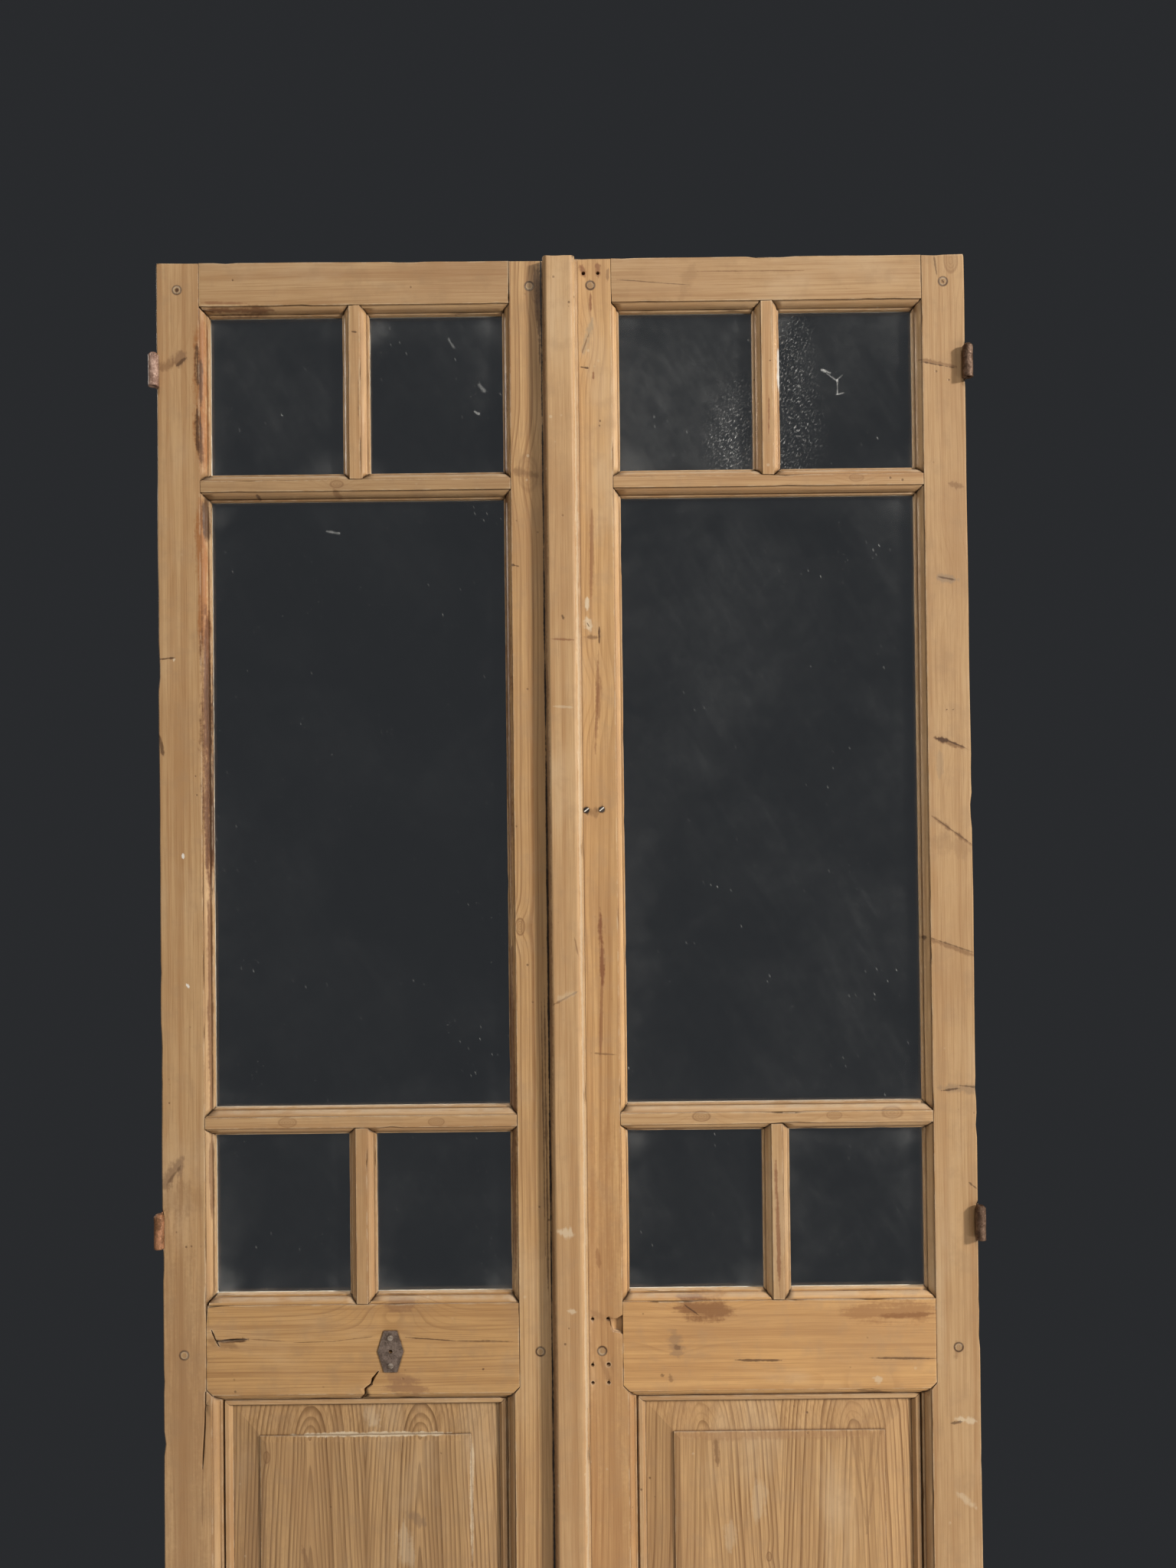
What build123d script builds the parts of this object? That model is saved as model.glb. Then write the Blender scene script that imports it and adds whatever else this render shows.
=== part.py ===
from build123d import *
import os

# Overall sizes, in millimetres, as read off the photograph
door_height = 2450.0
pair_half_width = 530.0
meeting_half_gap = 1.5
leaf_thickness = 40.0

# Frame members, measured on the flat part of their faces
hinge_stile_flat = 57.0
meeting_stile_reach = 67.0
top_rail_flat = 58.0
bar_flat = 15.0
upper_light = 229.0
lower_light = 228.0
lock_rail_drop = 1360.0
lock_rail_flat = 116.0
bottom_rail_flat = 150.0
worn_arris = 1.5

# Moulding worked along the inner edges, from the face back to the glass
moulding_width = 10.0
quirk_depth = 2.0
ovolo_width = 7.0
ovolo_depth = 11.0
ovolo_bulge_width = 4.9
ovolo_bulge_depth = 4.7
glass_depth = 20.0
groove_depth = 30.0

# Mortise and tenon joints, and the pegs through them
tenon_depth = 20.0
tenon_thickness = 12.0
rail_tenon_inset = 8.0
bar_tenon_inset = 2.0
haunch = 20.0
hinge_side_tenon = 45.0
meeting_side_tenon = 50.0
bar_tenon = 30.0
stub_tenon = 6.0
stub_tenon_inset = 2.5
peg_radius = 4.5
peg_length = 36.0
hinge_peg_inset = 28.5
meeting_peg_x = 40.0
top_peg_drop = 36.0
lock_peg_below_middle = 5.0
bottom_peg_height = 75.0

# Glass and putty
pane_thickness = 3.0
pane_edge_cover = 8.0
putty_depth = 10.0
putty_overlap = 0.3
putty_back_width = 2.0

# Bottom panel and the bead planted around it; beside it the stiles are wider than beside the glass
panel_stile_margin = 7.0
panel_edge_clearance = 2.0
bead_gap = 0.8
bead_width = 11.0
bead_ledge = 1.8
bead_ledge_depth = 17.0
bead_flat = 5.2
bead_flat_depth = 13.0
bead_foot_depth = 19.4
mitre_gap = 0.2
bevel_width = 36.5
bevel_top_depth = 14.0
field_step_depth = 11.5
field_bevel_width = 8.0
field_depth = 10.0

# Cover strip over the meeting line, fixed to the right leaf
astragal_proud = 18.0
astragal_left = 22.5
astragal_right = 22.9
astragal_bevel_width = 4.5
astragal_bevel_depth = 5.0
astragal_step_x = 19.5
astragal_step_proud = 5.0
astragal_relief = 0.6
astragal_end_drop = 3.0

# Lift-off hinge halves on the leaves
barrel_radius = 6.75
barrel_bore_radius = 3.5
barrel_bore_depth = 36.0
barrel_lead_in = 1.0
barrel_height = 44.0
barrel_dome = 3.0
barrel_clear_of_face = 0.5
plate_thickness = 2.5
plate_width = 32.0
plate_root = 4.6
top_hinge_drop = 121.0
middle_hinge_above_lock = 78.0
bottom_hinge_height = 200.0
hinge_screw_depths = (11.0, 23.0)
hinge_screw_head_radius = 3.6
hinge_screw_head_height = 2.2
hinge_screw_radius = 1.8
hinge_screw_length = 20.0

# Hexagonal plate on the left lock rail, and what is left of old fittings
hex_from_centre = 36.0
hex_below_middle = 2.5
hex_half_width = 16.75
hex_half_height = 26.5
hex_half_end = 8.5
hex_thickness = 1.5
hex_hole_radius = 2.6
hex_hole_depth = 24.0
hex_screw_offset = 18.0
small_head_radius = 3.6
small_head_height = 1.2
small_shank_radius = 1.6
small_shank_length = 14.0
slot_width = 0.9
slot_depth = 0.7
left_screw_places = ((27.5, 722.5), (47.5, 722.0))
empty_hole_radius = 2.1
empty_hole_depth = 15.0
empty_hole_places = (
    (31.0, 20.0),
    (50.0, 20.0),
    (28.0, 1382.0),
    (48.0, 1382.0),
    (27.5, 1441.0),
    (48.0, 1441.0),
    (27.5, 1464.0),
    (48.0, 1464.0),
)

# Places that follow from the sizes: y of the face, shoulder lines and heights of the flats
front_y = (astragal_proud - leaf_thickness) / 2
hinge_shoulder = pair_half_width - hinge_stile_flat
light_centre = (hinge_shoulder + meeting_stile_reach) / 2
muntin_in = light_centre - bar_flat / 2
muntin_out = light_centre + bar_flat / 2
top_low = door_height - top_rail_flat
upper_bar_top = top_low - upper_light
upper_bar_low = upper_bar_top - bar_flat
lock_top = door_height - lock_rail_drop
lock_low = lock_top - lock_rail_flat
lock_middle = (lock_top + lock_low) / 2
lower_bar_low = lock_top + lower_light
lower_bar_top = lower_bar_low + bar_flat
hinge_peg_x = pair_half_width - hinge_peg_inset
hex_x = hex_from_centre - light_centre
hex_z = lock_middle - hex_below_middle
hinge_bases = {
    "top": door_height - top_hinge_drop - barrel_height,
    "middle": lock_top + middle_hinge_above_lock,
    "bottom": bottom_hinge_height,
}
axis_y = front_y - barrel_radius - barrel_clear_of_face
sides = {"left": -1, "right": 1}

# Each rail: low and high flat, what lies below and above it
rails = {
    "top_rail": (top_low, door_height, "glass", "none"),
    "upper_bar": (upper_bar_low, upper_bar_top, "glass", "glass"),
    "lower_bar": (lower_bar_low, lower_bar_top, "glass", "glass"),
    "lock_rail": (lock_low, lock_top, "panel", "glass"),
    "bottom_rail": (0, bottom_rail_flat, "none", "panel"),
}

# Each short upright bar: low and high end, and the rails it stands between
muntins = {
    "upper_muntin": (upper_bar_top, top_low, "upper_bar", "top_rail"),
    "lower_muntin": (lock_top, lower_bar_low, "lock_rail", "lower_bar"),
}

# Each light: inner and outer x of its rebate, low and high
lights = {
    "upper_outer_pane": (muntin_out, hinge_shoulder, upper_bar_top, top_low),
    "upper_inner_pane": (meeting_stile_reach, muntin_in, upper_bar_top, top_low),
    "tall_pane": (meeting_stile_reach, hinge_shoulder, lower_bar_top, upper_bar_low),
    "lower_outer_pane": (muntin_out, hinge_shoulder, lock_top, lower_bar_low),
    "lower_inner_pane": (meeting_stile_reach, muntin_in, lock_top, lower_bar_low),
}


def shape(plane, points):
    """A closed straight-sided outline on a plane."""
    with BuildSketch(plane) as outline:
        with BuildLine():
            Polyline(*points, close=True)
        make_face()
    return outline.sketch


def face_plane(depth):
    """A plane like the leaf's face, set back by a depth; its x is x and its y is height."""
    return Plane.XZ.offset(-(front_y + depth))


def through(points, side, start=0, end=leaf_thickness, mode=Mode.ADD):
    """Carries an outline seen from the front back through the leaf."""
    placed = [(side * x, z) for x, z in points]
    extrude(shape(face_plane(start), placed), amount=start - end, mode=mode)


def block(side, x_span, depths, heights, mode=Mode.ADD):
    """A straight block given by its x, depth and height spans."""
    low, high = heights
    corners = [(x_span[0], low), (x_span[1], low), (x_span[1], high), (x_span[0], high)]
    through(corners, side, depths[0], depths[1], mode)


def member_section(plane, body, noses, lips):
    """Section of a frame member: its body, its mouldings and the lips behind a panel groove."""
    with BuildSketch(plane) as section:
        with BuildLine():
            Polyline(*body, close=True)
        make_face()
        for place in noses:
            with BuildLine():
                Polyline(place(ovolo_width, ovolo_depth), place(moulding_width, ovolo_depth),
                         place(moulding_width, glass_depth), place(0, glass_depth), place(0, quirk_depth))
                ThreePointArc(place(0, quirk_depth), place(ovolo_bulge_width, ovolo_bulge_depth),
                              place(ovolo_width, ovolo_depth))
            make_face()
        for place in lips:
            with BuildLine():
                Polyline(place(0, groove_depth), place(moulding_width, groove_depth),
                         place(moulding_width, leaf_thickness), place(0, leaf_thickness), close=True)
            make_face()
    return section.sketch


def tenon_heights(name):
    """Low and high of a rail's tenons."""
    low, high, below, above = rails[name]
    if "bar" in name:
        return low + bar_tenon_inset, high - bar_tenon_inset
    top = high - (haunch if above == "none" else rail_tenon_inset)
    bottom = low + (haunch if below == "none" else rail_tenon_inset)
    return bottom, top


def tenon(name, side, end, mode):
    """One tenon of a rail, added to the rail or cut from the stile."""
    hinge_reach = bar_tenon if "bar" in name else hinge_side_tenon
    meeting_reach = bar_tenon if "bar" in name else meeting_side_tenon
    span = (hinge_shoulder, hinge_shoulder + hinge_reach)
    if end == "meeting":
        span = (meeting_stile_reach - meeting_reach, meeting_stile_reach)
    block(side, span, (tenon_depth, tenon_depth + tenon_thickness), tenon_heights(name), mode)


def stub(side, low, high, mode):
    """The short tenon on the end of an upright bar."""
    span = (muntin_in + stub_tenon_inset, muntin_out - stub_tenon_inset)
    block(side, span, (tenon_depth, tenon_depth + tenon_thickness), (low, high), mode)


def rod(x, z, radius, start, end, mode=Mode.ADD):
    """A round rod or hole that runs straight back from the face."""
    with BuildSketch(face_plane(start)) as end_face:
        with Locations((x, z)):
            Circle(radius)
    extrude(end_face.sketch, amount=start - end, mode=mode)


def pegs(side, ends, mode=Mode.ADD):
    """Pegs through the rail tenons, on the stile or stiles named."""
    heights = (door_height - top_peg_drop, lock_middle - lock_peg_below_middle, bottom_peg_height)
    for z in heights:
        if "hinge" in ends:
            rod(side * hinge_peg_x, z, peg_radius, 0, peg_length, mode)
        if "meeting" in ends:
            rod(side * meeting_peg_x, z, peg_radius, 0, peg_length, mode)


def hinge_screws(side, base, mode=Mode.ADD):
    """The countersunk screws of one hinge plate, driven in from the leaf's edge."""
    z = base + barrel_height / 2
    for depth in hinge_screw_depths:
        start = Plane(origin=(side * pair_half_width, front_y + depth, z), z_dir=(-side, 0, 0))
        with Locations(start):
            Cone(hinge_screw_head_radius, hinge_screw_radius, hinge_screw_head_height,
                 align=(Align.CENTER, Align.CENTER, Align.MIN), mode=mode)
            Cylinder(hinge_screw_radius, hinge_screw_length,
                     align=(Align.CENTER, Align.CENTER, Align.MIN), mode=mode)


def hinge_plate(side, base, front, mode=Mode.ADD):
    """The plate of one hinge, or the housing it lies in."""
    span = (pair_half_width - plate_thickness, pair_half_width)
    block(side, span, (front, plate_width), (base, base + barrel_height), mode)


def small_screw(x, z, seat, mode=Mode.ADD):
    """A round-headed slotted screw; seat is the depth its head rests on."""
    rod(x, z, small_head_radius, seat - small_head_height, seat, mode)
    rod(x, z, small_shank_radius, seat, seat + small_shank_length, mode)


def slot(x, z, seat):
    """The slot in a small screw's head."""
    top = seat - small_head_height
    spans = (x - small_head_radius, x + small_head_radius), (z - slot_width / 2, z + slot_width / 2)
    block(1, spans[0], (top, top + slot_depth), spans[1], Mode.SUBTRACT)


def mitred(low, high, in_x, out_x, below, above):
    """Front outline of a rail whose mouldings are mitred at both ends."""
    m = moulding_width
    under = panel_stile_margin if below == "panel" else 0
    over = panel_stile_margin if above == "panel" else 0
    points = [(in_x, low + under), (in_x, high - over)]
    if above != "none":
        points += [(in_x + m + over, high + m), (out_x - m - over, high + m)]
    points += [(out_x, high - over), (out_x, low + under)]
    if below != "none":
        points += [(out_x - m - under, low - m), (in_x + m + under, low - m)]
    return points


def stile_notch(name, edge, inward):
    """Front outline of what a rail takes out of a stile's moulding."""
    low, high, below, above = rails[name]
    m = moulding_width
    under = panel_stile_margin if below == "panel" else 0
    over = panel_stile_margin if above == "panel" else 0
    far = edge + inward * (m + under + over)
    points = [(edge, low + under), (edge, high - over)]
    if above == "none":
        points += [(far, high)]
    else:
        points += [(edge + inward * (m + over), high + m), (far, high + m)]
    if below == "none":
        points += [(far, low)]
    else:
        points += [(far, low - m), (edge + inward * (m + under), low - m)]
    return list(dict.fromkeys(points))


def panel_margin(side, edge, inward):
    """What widens a stile beside the panel: more face, the moulding carried with it, and the lip behind."""
    inner = edge + inward * panel_stile_margin
    section = [(side * edge, front_y), (side * inner, front_y), (side * inner, front_y + glass_depth),
               (side * edge, front_y + glass_depth)]
    nose = lambda w, d: (side * (inner + inward * w), front_y + d)
    ends = (bottom_rail_flat - panel_stile_margin, lock_low + panel_stile_margin)
    extrude(member_section(Plane.XY.offset(ends[0]), section, [nose], []), amount=ends[1] - ends[0])
    reach = inner + inward * moulding_width
    block(side, (edge, reach), (groove_depth, leaf_thickness), ends)
    block(side, (edge, inner), (glass_depth, groove_depth), (ends[0], bottom_rail_flat))
    block(side, (edge, inner), (glass_depth, groove_depth), (lock_low, ends[1]))


def muntin_notch(z, away):
    """Front outline of what an upright bar takes out of a rail's moulding."""
    m = moulding_width
    return [(muntin_in, z), (muntin_out, z), (muntin_out + m, z + away * m), (muntin_in - m, z + away * m)]


os.makedirs("parts", exist_ok=True)

for hand, side in sides.items():
    back_y = front_y + leaf_thickness

    # Hinge stile, full height, with its mortises, housings and peg holes
    with BuildPart() as hinge_stile:
        edge = side * pair_half_width
        inner = side * hinge_shoulder
        worn = side * worn_arris
        body = [(edge - worn, front_y), (inner, front_y), (inner, back_y), (edge - worn, back_y),
                (edge, back_y - worn_arris), (edge, front_y + worn_arris)]
        nose = lambda w, d: (side * (hinge_shoulder - w), front_y + d)
        extrude(member_section(Plane.XY, body, [nose], []), amount=door_height)
        panel_margin(side, hinge_shoulder, -1)
        for name in rails:
            through(stile_notch(name, hinge_shoulder, -1), side, mode=Mode.SUBTRACT)
            tenon(name, side, "hinge", Mode.SUBTRACT)
        pegs(side, "hinge", Mode.SUBTRACT)
        for base in hinge_bases.values():
            hinge_plate(side, base, 0, Mode.SUBTRACT)
            hinge_screws(side, base, Mode.SUBTRACT)
    hinge_stile.part.label = hand + "_hinge_stile"
    export_step(hinge_stile.part, "parts/" + hand + "_hinge_stile.step")

    # Meeting stile, full height; the right one keeps the holes of old fittings
    with BuildPart() as meeting_stile:
        edge = side * meeting_half_gap
        inner = side * meeting_stile_reach
        worn = side * worn_arris
        body = [(edge, front_y), (inner, front_y), (inner, back_y), (edge + worn, back_y),
                (edge, back_y - worn_arris)]
        nose = lambda w, d: (side * (meeting_stile_reach + w), front_y + d)
        extrude(member_section(Plane.XY, body, [nose], []), amount=door_height)
        panel_margin(side, meeting_stile_reach, 1)
        for name in rails:
            through(stile_notch(name, meeting_stile_reach, 1), side, mode=Mode.SUBTRACT)
            tenon(name, side, "meeting", Mode.SUBTRACT)
        pegs(side, "meeting", Mode.SUBTRACT)
        if hand == "right":
            for x, drop in empty_hole_places:
                rod(x, door_height - drop, empty_hole_radius, 0, empty_hole_depth, Mode.SUBTRACT)
            for x, drop in left_screw_places:
                small_screw(x, door_height - drop, 0, Mode.SUBTRACT)
    meeting_stile.part.label = hand + "_meeting_stile"
    export_step(meeting_stile.part, "parts/" + hand + "_meeting_stile.step")

    # Rails and cross bars, mitred at the mouldings and tenoned into both stiles
    for name, (low, high, below, above) in rails.items():
        with BuildPart() as rail:
            body = [(front_y, low), (back_y, low), (back_y, high), (front_y, high)]
            under = lambda w, d: (front_y + d, low - w)
            over = lambda w, d: (front_y + d, high + w)
            noses = [p for p, kind in ((under, below), (over, above)) if kind != "none"]
            lips = [p for p, kind in ((under, below), (over, above)) if kind == "panel"]
            start = meeting_stile_reach if side > 0 else -hinge_shoulder
            length = hinge_shoulder - meeting_stile_reach
            extrude(member_section(Plane.YZ.offset(start), body, noses, lips), amount=length)
            outline = mitred(low, high, meeting_stile_reach, hinge_shoulder, below, above)
            through(outline, side, mode=Mode.INTERSECT)
            for ends in muntins.values():
                if ends[2] == name:
                    through(muntin_notch(high, 1), side, mode=Mode.SUBTRACT)
                    stub(side, high - stub_tenon, high, Mode.SUBTRACT)
                if ends[3] == name:
                    through(muntin_notch(low, -1), side, mode=Mode.SUBTRACT)
                    stub(side, low, low + stub_tenon, Mode.SUBTRACT)
            tenon(name, side, "hinge", Mode.ADD)
            tenon(name, side, "meeting", Mode.ADD)
            if "bar" not in name:
                pegs(side, "hinge meeting", Mode.SUBTRACT)
            if name == "lock_rail" and hand == "left":
                rod(hex_x, hex_z, hex_hole_radius, 0, hex_hole_depth, Mode.SUBTRACT)
                small_screw(hex_x, hex_z + hex_screw_offset, -hex_thickness, Mode.SUBTRACT)
                small_screw(hex_x, hex_z - hex_screw_offset, -hex_thickness, Mode.SUBTRACT)
        rail.part.label = hand + "_" + name
        export_step(rail.part, "parts/" + hand + "_" + name + ".step")

    # Upright glazing bars in the upper and lower lights
    for name, (low, high, foot, head) in muntins.items():
        with BuildPart() as muntin:
            a, b = side * muntin_in, side * muntin_out
            body = [(a, front_y), (b, front_y), (b, back_y), (a, back_y)]
            inward = lambda w, d: (side * (muntin_in - w), front_y + d)
            outward = lambda w, d: (side * (muntin_out + w), front_y + d)
            extrude(member_section(Plane.XY.offset(low), body, [inward, outward], []), amount=high - low)
            m = moulding_width
            outline = [(muntin_in, low), (muntin_out, low), (muntin_out + m, low + m),
                       (muntin_out + m, high - m), (muntin_out, high), (muntin_in, high),
                       (muntin_in - m, high - m), (muntin_in - m, low + m)]
            through(outline, side, mode=Mode.INTERSECT)
            stub(side, low - stub_tenon, low, Mode.ADD)
            stub(side, high, high + stub_tenon, Mode.ADD)
        muntin.part.label = hand + "_" + name
        export_step(muntin.part, "parts/" + hand + "_" + name + ".step")

    # Panes, each lying behind the mouldings of its light
    for name, (in_x, out_x, low, high) in lights.items():
        inset = moulding_width - pane_edge_cover
        with BuildPart() as pane:
            block(side, (in_x + inset, out_x - inset), (glass_depth, glass_depth + pane_thickness),
                  (low + inset, high - inset))
        pane.part.label = hand + "_" + name
        export_step(pane.part, "parts/" + hand + "_" + name + ".step")

    # Putty run around the back of every pane
    with BuildPart() as putty:
        putty_front = glass_depth + pane_thickness
        for in_x, out_x, low, high in lights.values():
            block(side, (in_x, out_x), (putty_front, putty_front + putty_depth), (low, high))
        for in_x, out_x, low, high in lights.values():
            front_rim = moulding_width + putty_overlap
            rims = []
            for depth, rim in ((putty_front, front_rim), (putty_front + putty_depth, putty_back_width)):
                corners = [(in_x + rim, low + rim), (out_x - rim, low + rim), (out_x - rim, high - rim),
                           (in_x + rim, high - rim)]
                rims.append(shape(face_plane(depth), [(side * x, z) for x, z in corners]))
            loft(rims, mode=Mode.SUBTRACT)
    putty.part.label = hand + "_putty"
    export_step(putty.part, "parts/" + hand + "_putty.step")

    # Raised and fielded bottom panel, its edges held in the grooves
    with BuildPart() as panel:
        def rim_corners(rim, margin=panel_stile_margin):
            a, b = meeting_stile_reach + margin + rim, hinge_shoulder - margin - rim
            low, high = bottom_rail_flat + rim, lock_low - rim
            return [(side * x, z) for x, z in ((a, low), (b, low), (b, high), (a, high))]
        bevel_foot = moulding_width + bead_gap + bead_width
        field_foot = bevel_foot + bevel_width
        sheet = shape(face_plane(glass_depth), rim_corners(panel_edge_clearance, 0))
        extrude(sheet, amount=glass_depth - groove_depth)
        loft([shape(face_plane(glass_depth), rim_corners(bevel_foot)),
              shape(face_plane(bevel_top_depth), rim_corners(field_foot))])
        extrude(shape(face_plane(bevel_top_depth), rim_corners(field_foot)),
                amount=bevel_top_depth - field_step_depth)
        loft([shape(face_plane(field_step_depth), rim_corners(field_foot)),
              shape(face_plane(field_depth), rim_corners(field_foot + field_bevel_width))])
    panel.part.label = hand + "_panel"
    export_step(panel.part, "parts/" + hand + "_panel.step")

    # Four bevelled beads planted around the panel, mitred at the corners
    near = moulding_width + bead_gap
    far = near + bead_width
    in_x, out_x = meeting_stile_reach + panel_stile_margin, hinge_shoulder - panel_stile_margin
    low, high = bottom_rail_flat, lock_low
    edges = {"low": lambda w: low + w, "high": lambda w: high - w,
             "in": lambda w: in_x + w, "out": lambda w: out_x - w}
    strips = []
    for where, place in edges.items():
        a, b = near + mitre_gap, far + mitre_gap
        if where in ("low", "high"):
            plane = Plane.YZ.offset(meeting_stile_reach if side > 0 else -hinge_shoulder)
            spot = lambda w, d: (front_y + d, place(w))
            run = hinge_shoulder - meeting_stile_reach
            trapezoid = [(in_x + a, place(near)), (out_x - a, place(near)),
                         (out_x - b, place(far)), (in_x + b, place(far))]
        else:
            plane = Plane.XY.offset(low)
            spot = lambda w, d: (side * place(w), front_y + d)
            run = high - low
            trapezoid = [(place(near), low + a), (place(near), high - a),
                         (place(far), high - b), (place(far), low + b)]
        with BuildSketch(plane) as section:
            with BuildLine():
                Polyline(spot(near, glass_depth), spot(near, bead_ledge_depth),
                         spot(near + bead_ledge, bead_ledge_depth), spot(near + bead_ledge, bead_flat_depth),
                         spot(near + bead_ledge + bead_flat, bead_flat_depth), spot(far, bead_foot_depth),
                         spot(far, glass_depth), close=True)
            make_face()
        with BuildPart() as strip:
            extrude(section.sketch, amount=run)
            through(trapezoid, side, mode=Mode.INTERSECT)
        strips.append(strip.part)
    with BuildPart() as panel_beads:
        for piece in strips:
            add(piece)
    panel_beads.part.label = hand + "_panel_beads"
    export_step(panel_beads.part, "parts/" + hand + "_panel_beads.step")

    # Pegs that pin the rails' tenons
    with BuildPart() as leaf_pegs:
        pegs(side, "hinge meeting")
    leaf_pegs.part.label = hand + "_pegs"
    export_step(leaf_pegs.part, "parts/" + hand + "_pegs.step")

    # Hinge halves: a barrel with a blind bore open below, and a plate let into the stile's edge
    for place, base in hinge_bases.items():
        with BuildPart() as hinge:
            with Locations((side * pair_half_width, axis_y, base)):
                Cylinder(barrel_radius, barrel_height, align=(Align.CENTER, Align.CENTER, Align.MIN))
            chamfer(hinge.edges().group_by(Axis.Z)[-1], length=barrel_dome)
            top = base + barrel_height - barrel_dome
            span = (pair_half_width - plate_thickness, pair_half_width)
            root = axis_y + plate_root - front_y
            block(side, span, (root, 0), (base, top))
            hinge_plate(side, base, 0)
            with Locations((side * pair_half_width, axis_y, base)):
                Cylinder(barrel_bore_radius, barrel_bore_depth, align=(Align.CENTER, Align.CENTER, Align.MIN),
                         mode=Mode.SUBTRACT)
                Cone(barrel_bore_radius + barrel_lead_in, barrel_bore_radius, barrel_lead_in,
                     align=(Align.CENTER, Align.CENTER, Align.MIN), mode=Mode.SUBTRACT)
            hinge_screws(side, base, Mode.SUBTRACT)
        hinge.part.label = hand + "_" + place + "_hinge"
        export_step(hinge.part, "parts/" + hand + "_" + place + "_hinge.step")

    # Screws of the three hinge plates
    with BuildPart() as plate_screws:
        for base in hinge_bases.values():
            hinge_screws(side, base)
    plate_screws.part.label = hand + "_hinge_screws"
    export_step(plate_screws.part, "parts/" + hand + "_hinge_screws.step")

# Cover strip on the right leaf, relieved where it laps over the left one
with BuildPart() as astragal:
    crown = front_y - astragal_proud
    shoulder = crown + astragal_bevel_depth
    section = [(-astragal_left, front_y - astragal_relief), (-astragal_left, shoulder),
               (-astragal_left + astragal_bevel_width, crown),
               (astragal_step_x - astragal_bevel_width, crown),
               (astragal_step_x, shoulder), (astragal_step_x, front_y - astragal_step_proud),
               (astragal_right, front_y - astragal_step_proud), (astragal_right, front_y),
               (meeting_half_gap, front_y), (meeting_half_gap, front_y - astragal_relief)]
    extrude(shape(Plane.XY.offset(astragal_end_drop), section), amount=door_height - 2 * astragal_end_drop)
astragal.part.label = "astragal"
export_step(astragal.part, "parts/astragal.step")

# Six-sided plate on the left lock rail
with BuildPart() as hex_plate:
    corners = [(-hex_half_end, hex_half_height), (hex_half_end, hex_half_height), (hex_half_width, 0),
               (hex_half_end, -hex_half_height), (-hex_half_end, -hex_half_height), (-hex_half_width, 0)]
    through([(hex_x + x, hex_z + z) for x, z in corners], 1, -hex_thickness, 0)
    rod(hex_x, hex_z, hex_hole_radius, -hex_thickness, 0, Mode.SUBTRACT)
    small_screw(hex_x, hex_z + hex_screw_offset, -hex_thickness, Mode.SUBTRACT)
    small_screw(hex_x, hex_z - hex_screw_offset, -hex_thickness, Mode.SUBTRACT)
hex_plate.part.label = "hex_plate"
export_step(hex_plate.part, "parts/hex_plate.step")

# The two slotted screws of that plate
with BuildPart() as hex_plate_screws:
    for offset in (hex_screw_offset, -hex_screw_offset):
        small_screw(hex_x, hex_z + offset, -hex_thickness)
        slot(hex_x, hex_z + offset, -hex_thickness)
hex_plate_screws.part.label = "hex_plate_screws"
export_step(hex_plate_screws.part, "parts/hex_plate_screws.step")

# Two screws left behind in the right meeting stile
with BuildPart() as left_screws:
    for x, drop in left_screw_places:
        small_screw(x, door_height - drop, 0)
        slot(x, door_height - drop, 0)
left_screws.part.label = "old_screws"
export_step(left_screws.part, "parts/old_screws.step")
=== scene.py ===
import bmesh
import bpy
import math
from mathutils import Matrix, Vector, noise


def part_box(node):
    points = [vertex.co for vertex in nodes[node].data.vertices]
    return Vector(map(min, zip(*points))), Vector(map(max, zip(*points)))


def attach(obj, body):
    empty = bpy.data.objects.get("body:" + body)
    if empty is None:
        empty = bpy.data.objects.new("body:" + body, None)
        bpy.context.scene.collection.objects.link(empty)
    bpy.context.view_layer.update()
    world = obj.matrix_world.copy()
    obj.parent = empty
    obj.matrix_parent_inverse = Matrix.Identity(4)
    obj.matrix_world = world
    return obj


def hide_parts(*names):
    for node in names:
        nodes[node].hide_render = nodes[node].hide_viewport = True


for spare in ("Cube", "Light", "Camera"):
    if spare in bpy.data.objects:
        bpy.data.objects.remove(bpy.data.objects[spare])
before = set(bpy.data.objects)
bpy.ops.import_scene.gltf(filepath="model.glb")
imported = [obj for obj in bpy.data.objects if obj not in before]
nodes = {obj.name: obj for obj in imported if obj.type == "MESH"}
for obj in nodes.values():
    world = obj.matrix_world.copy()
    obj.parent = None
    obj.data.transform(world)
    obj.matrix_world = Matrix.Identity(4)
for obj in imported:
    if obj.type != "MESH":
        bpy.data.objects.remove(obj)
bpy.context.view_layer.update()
scene = bpy.context.scene

# Places in the frame, in metres: leaf face, half width, top, shoulders, pegs and hinge pins
FACE = -0.011
HALF = 0.530
TOP = 2.450
SHOULDERS = (0.067, 0.473)
PEG_HEIGHTS = (2.414, 1.027, 0.075)
HINGE_PEG_X = 0.5015
MEETING_PEG_X = 0.040
PIN_Y = -0.01825
HANDS = {"left": -1, "right": 1}

# Wear, in metres or as angles: roundings, the fall of the left leaf's top edge, and what tells edges apart
CORNER_ROUND = 0.005
LEFT_TOP_FALL = 0.0023
MOULDING_ROUND = 0.00035
WELD = 1e-6
FLAT_ANGLE = math.radians(0.4)
ARRIS_ANGLE = math.radians(28.0)
SLIM_FACE = 0.004
EDGE_BAND = 0.004
FALL_BAND = 0.012
CUTTER_PROUD = 0.002
HOLE_DEPTH = 0.007
LEAST_OPEN_EDGE = 0.008
LEAST_FINE_EDGE = 0.006
BORE_KEPT = 0.0045
BORE_BLEND = 0.0015

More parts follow.
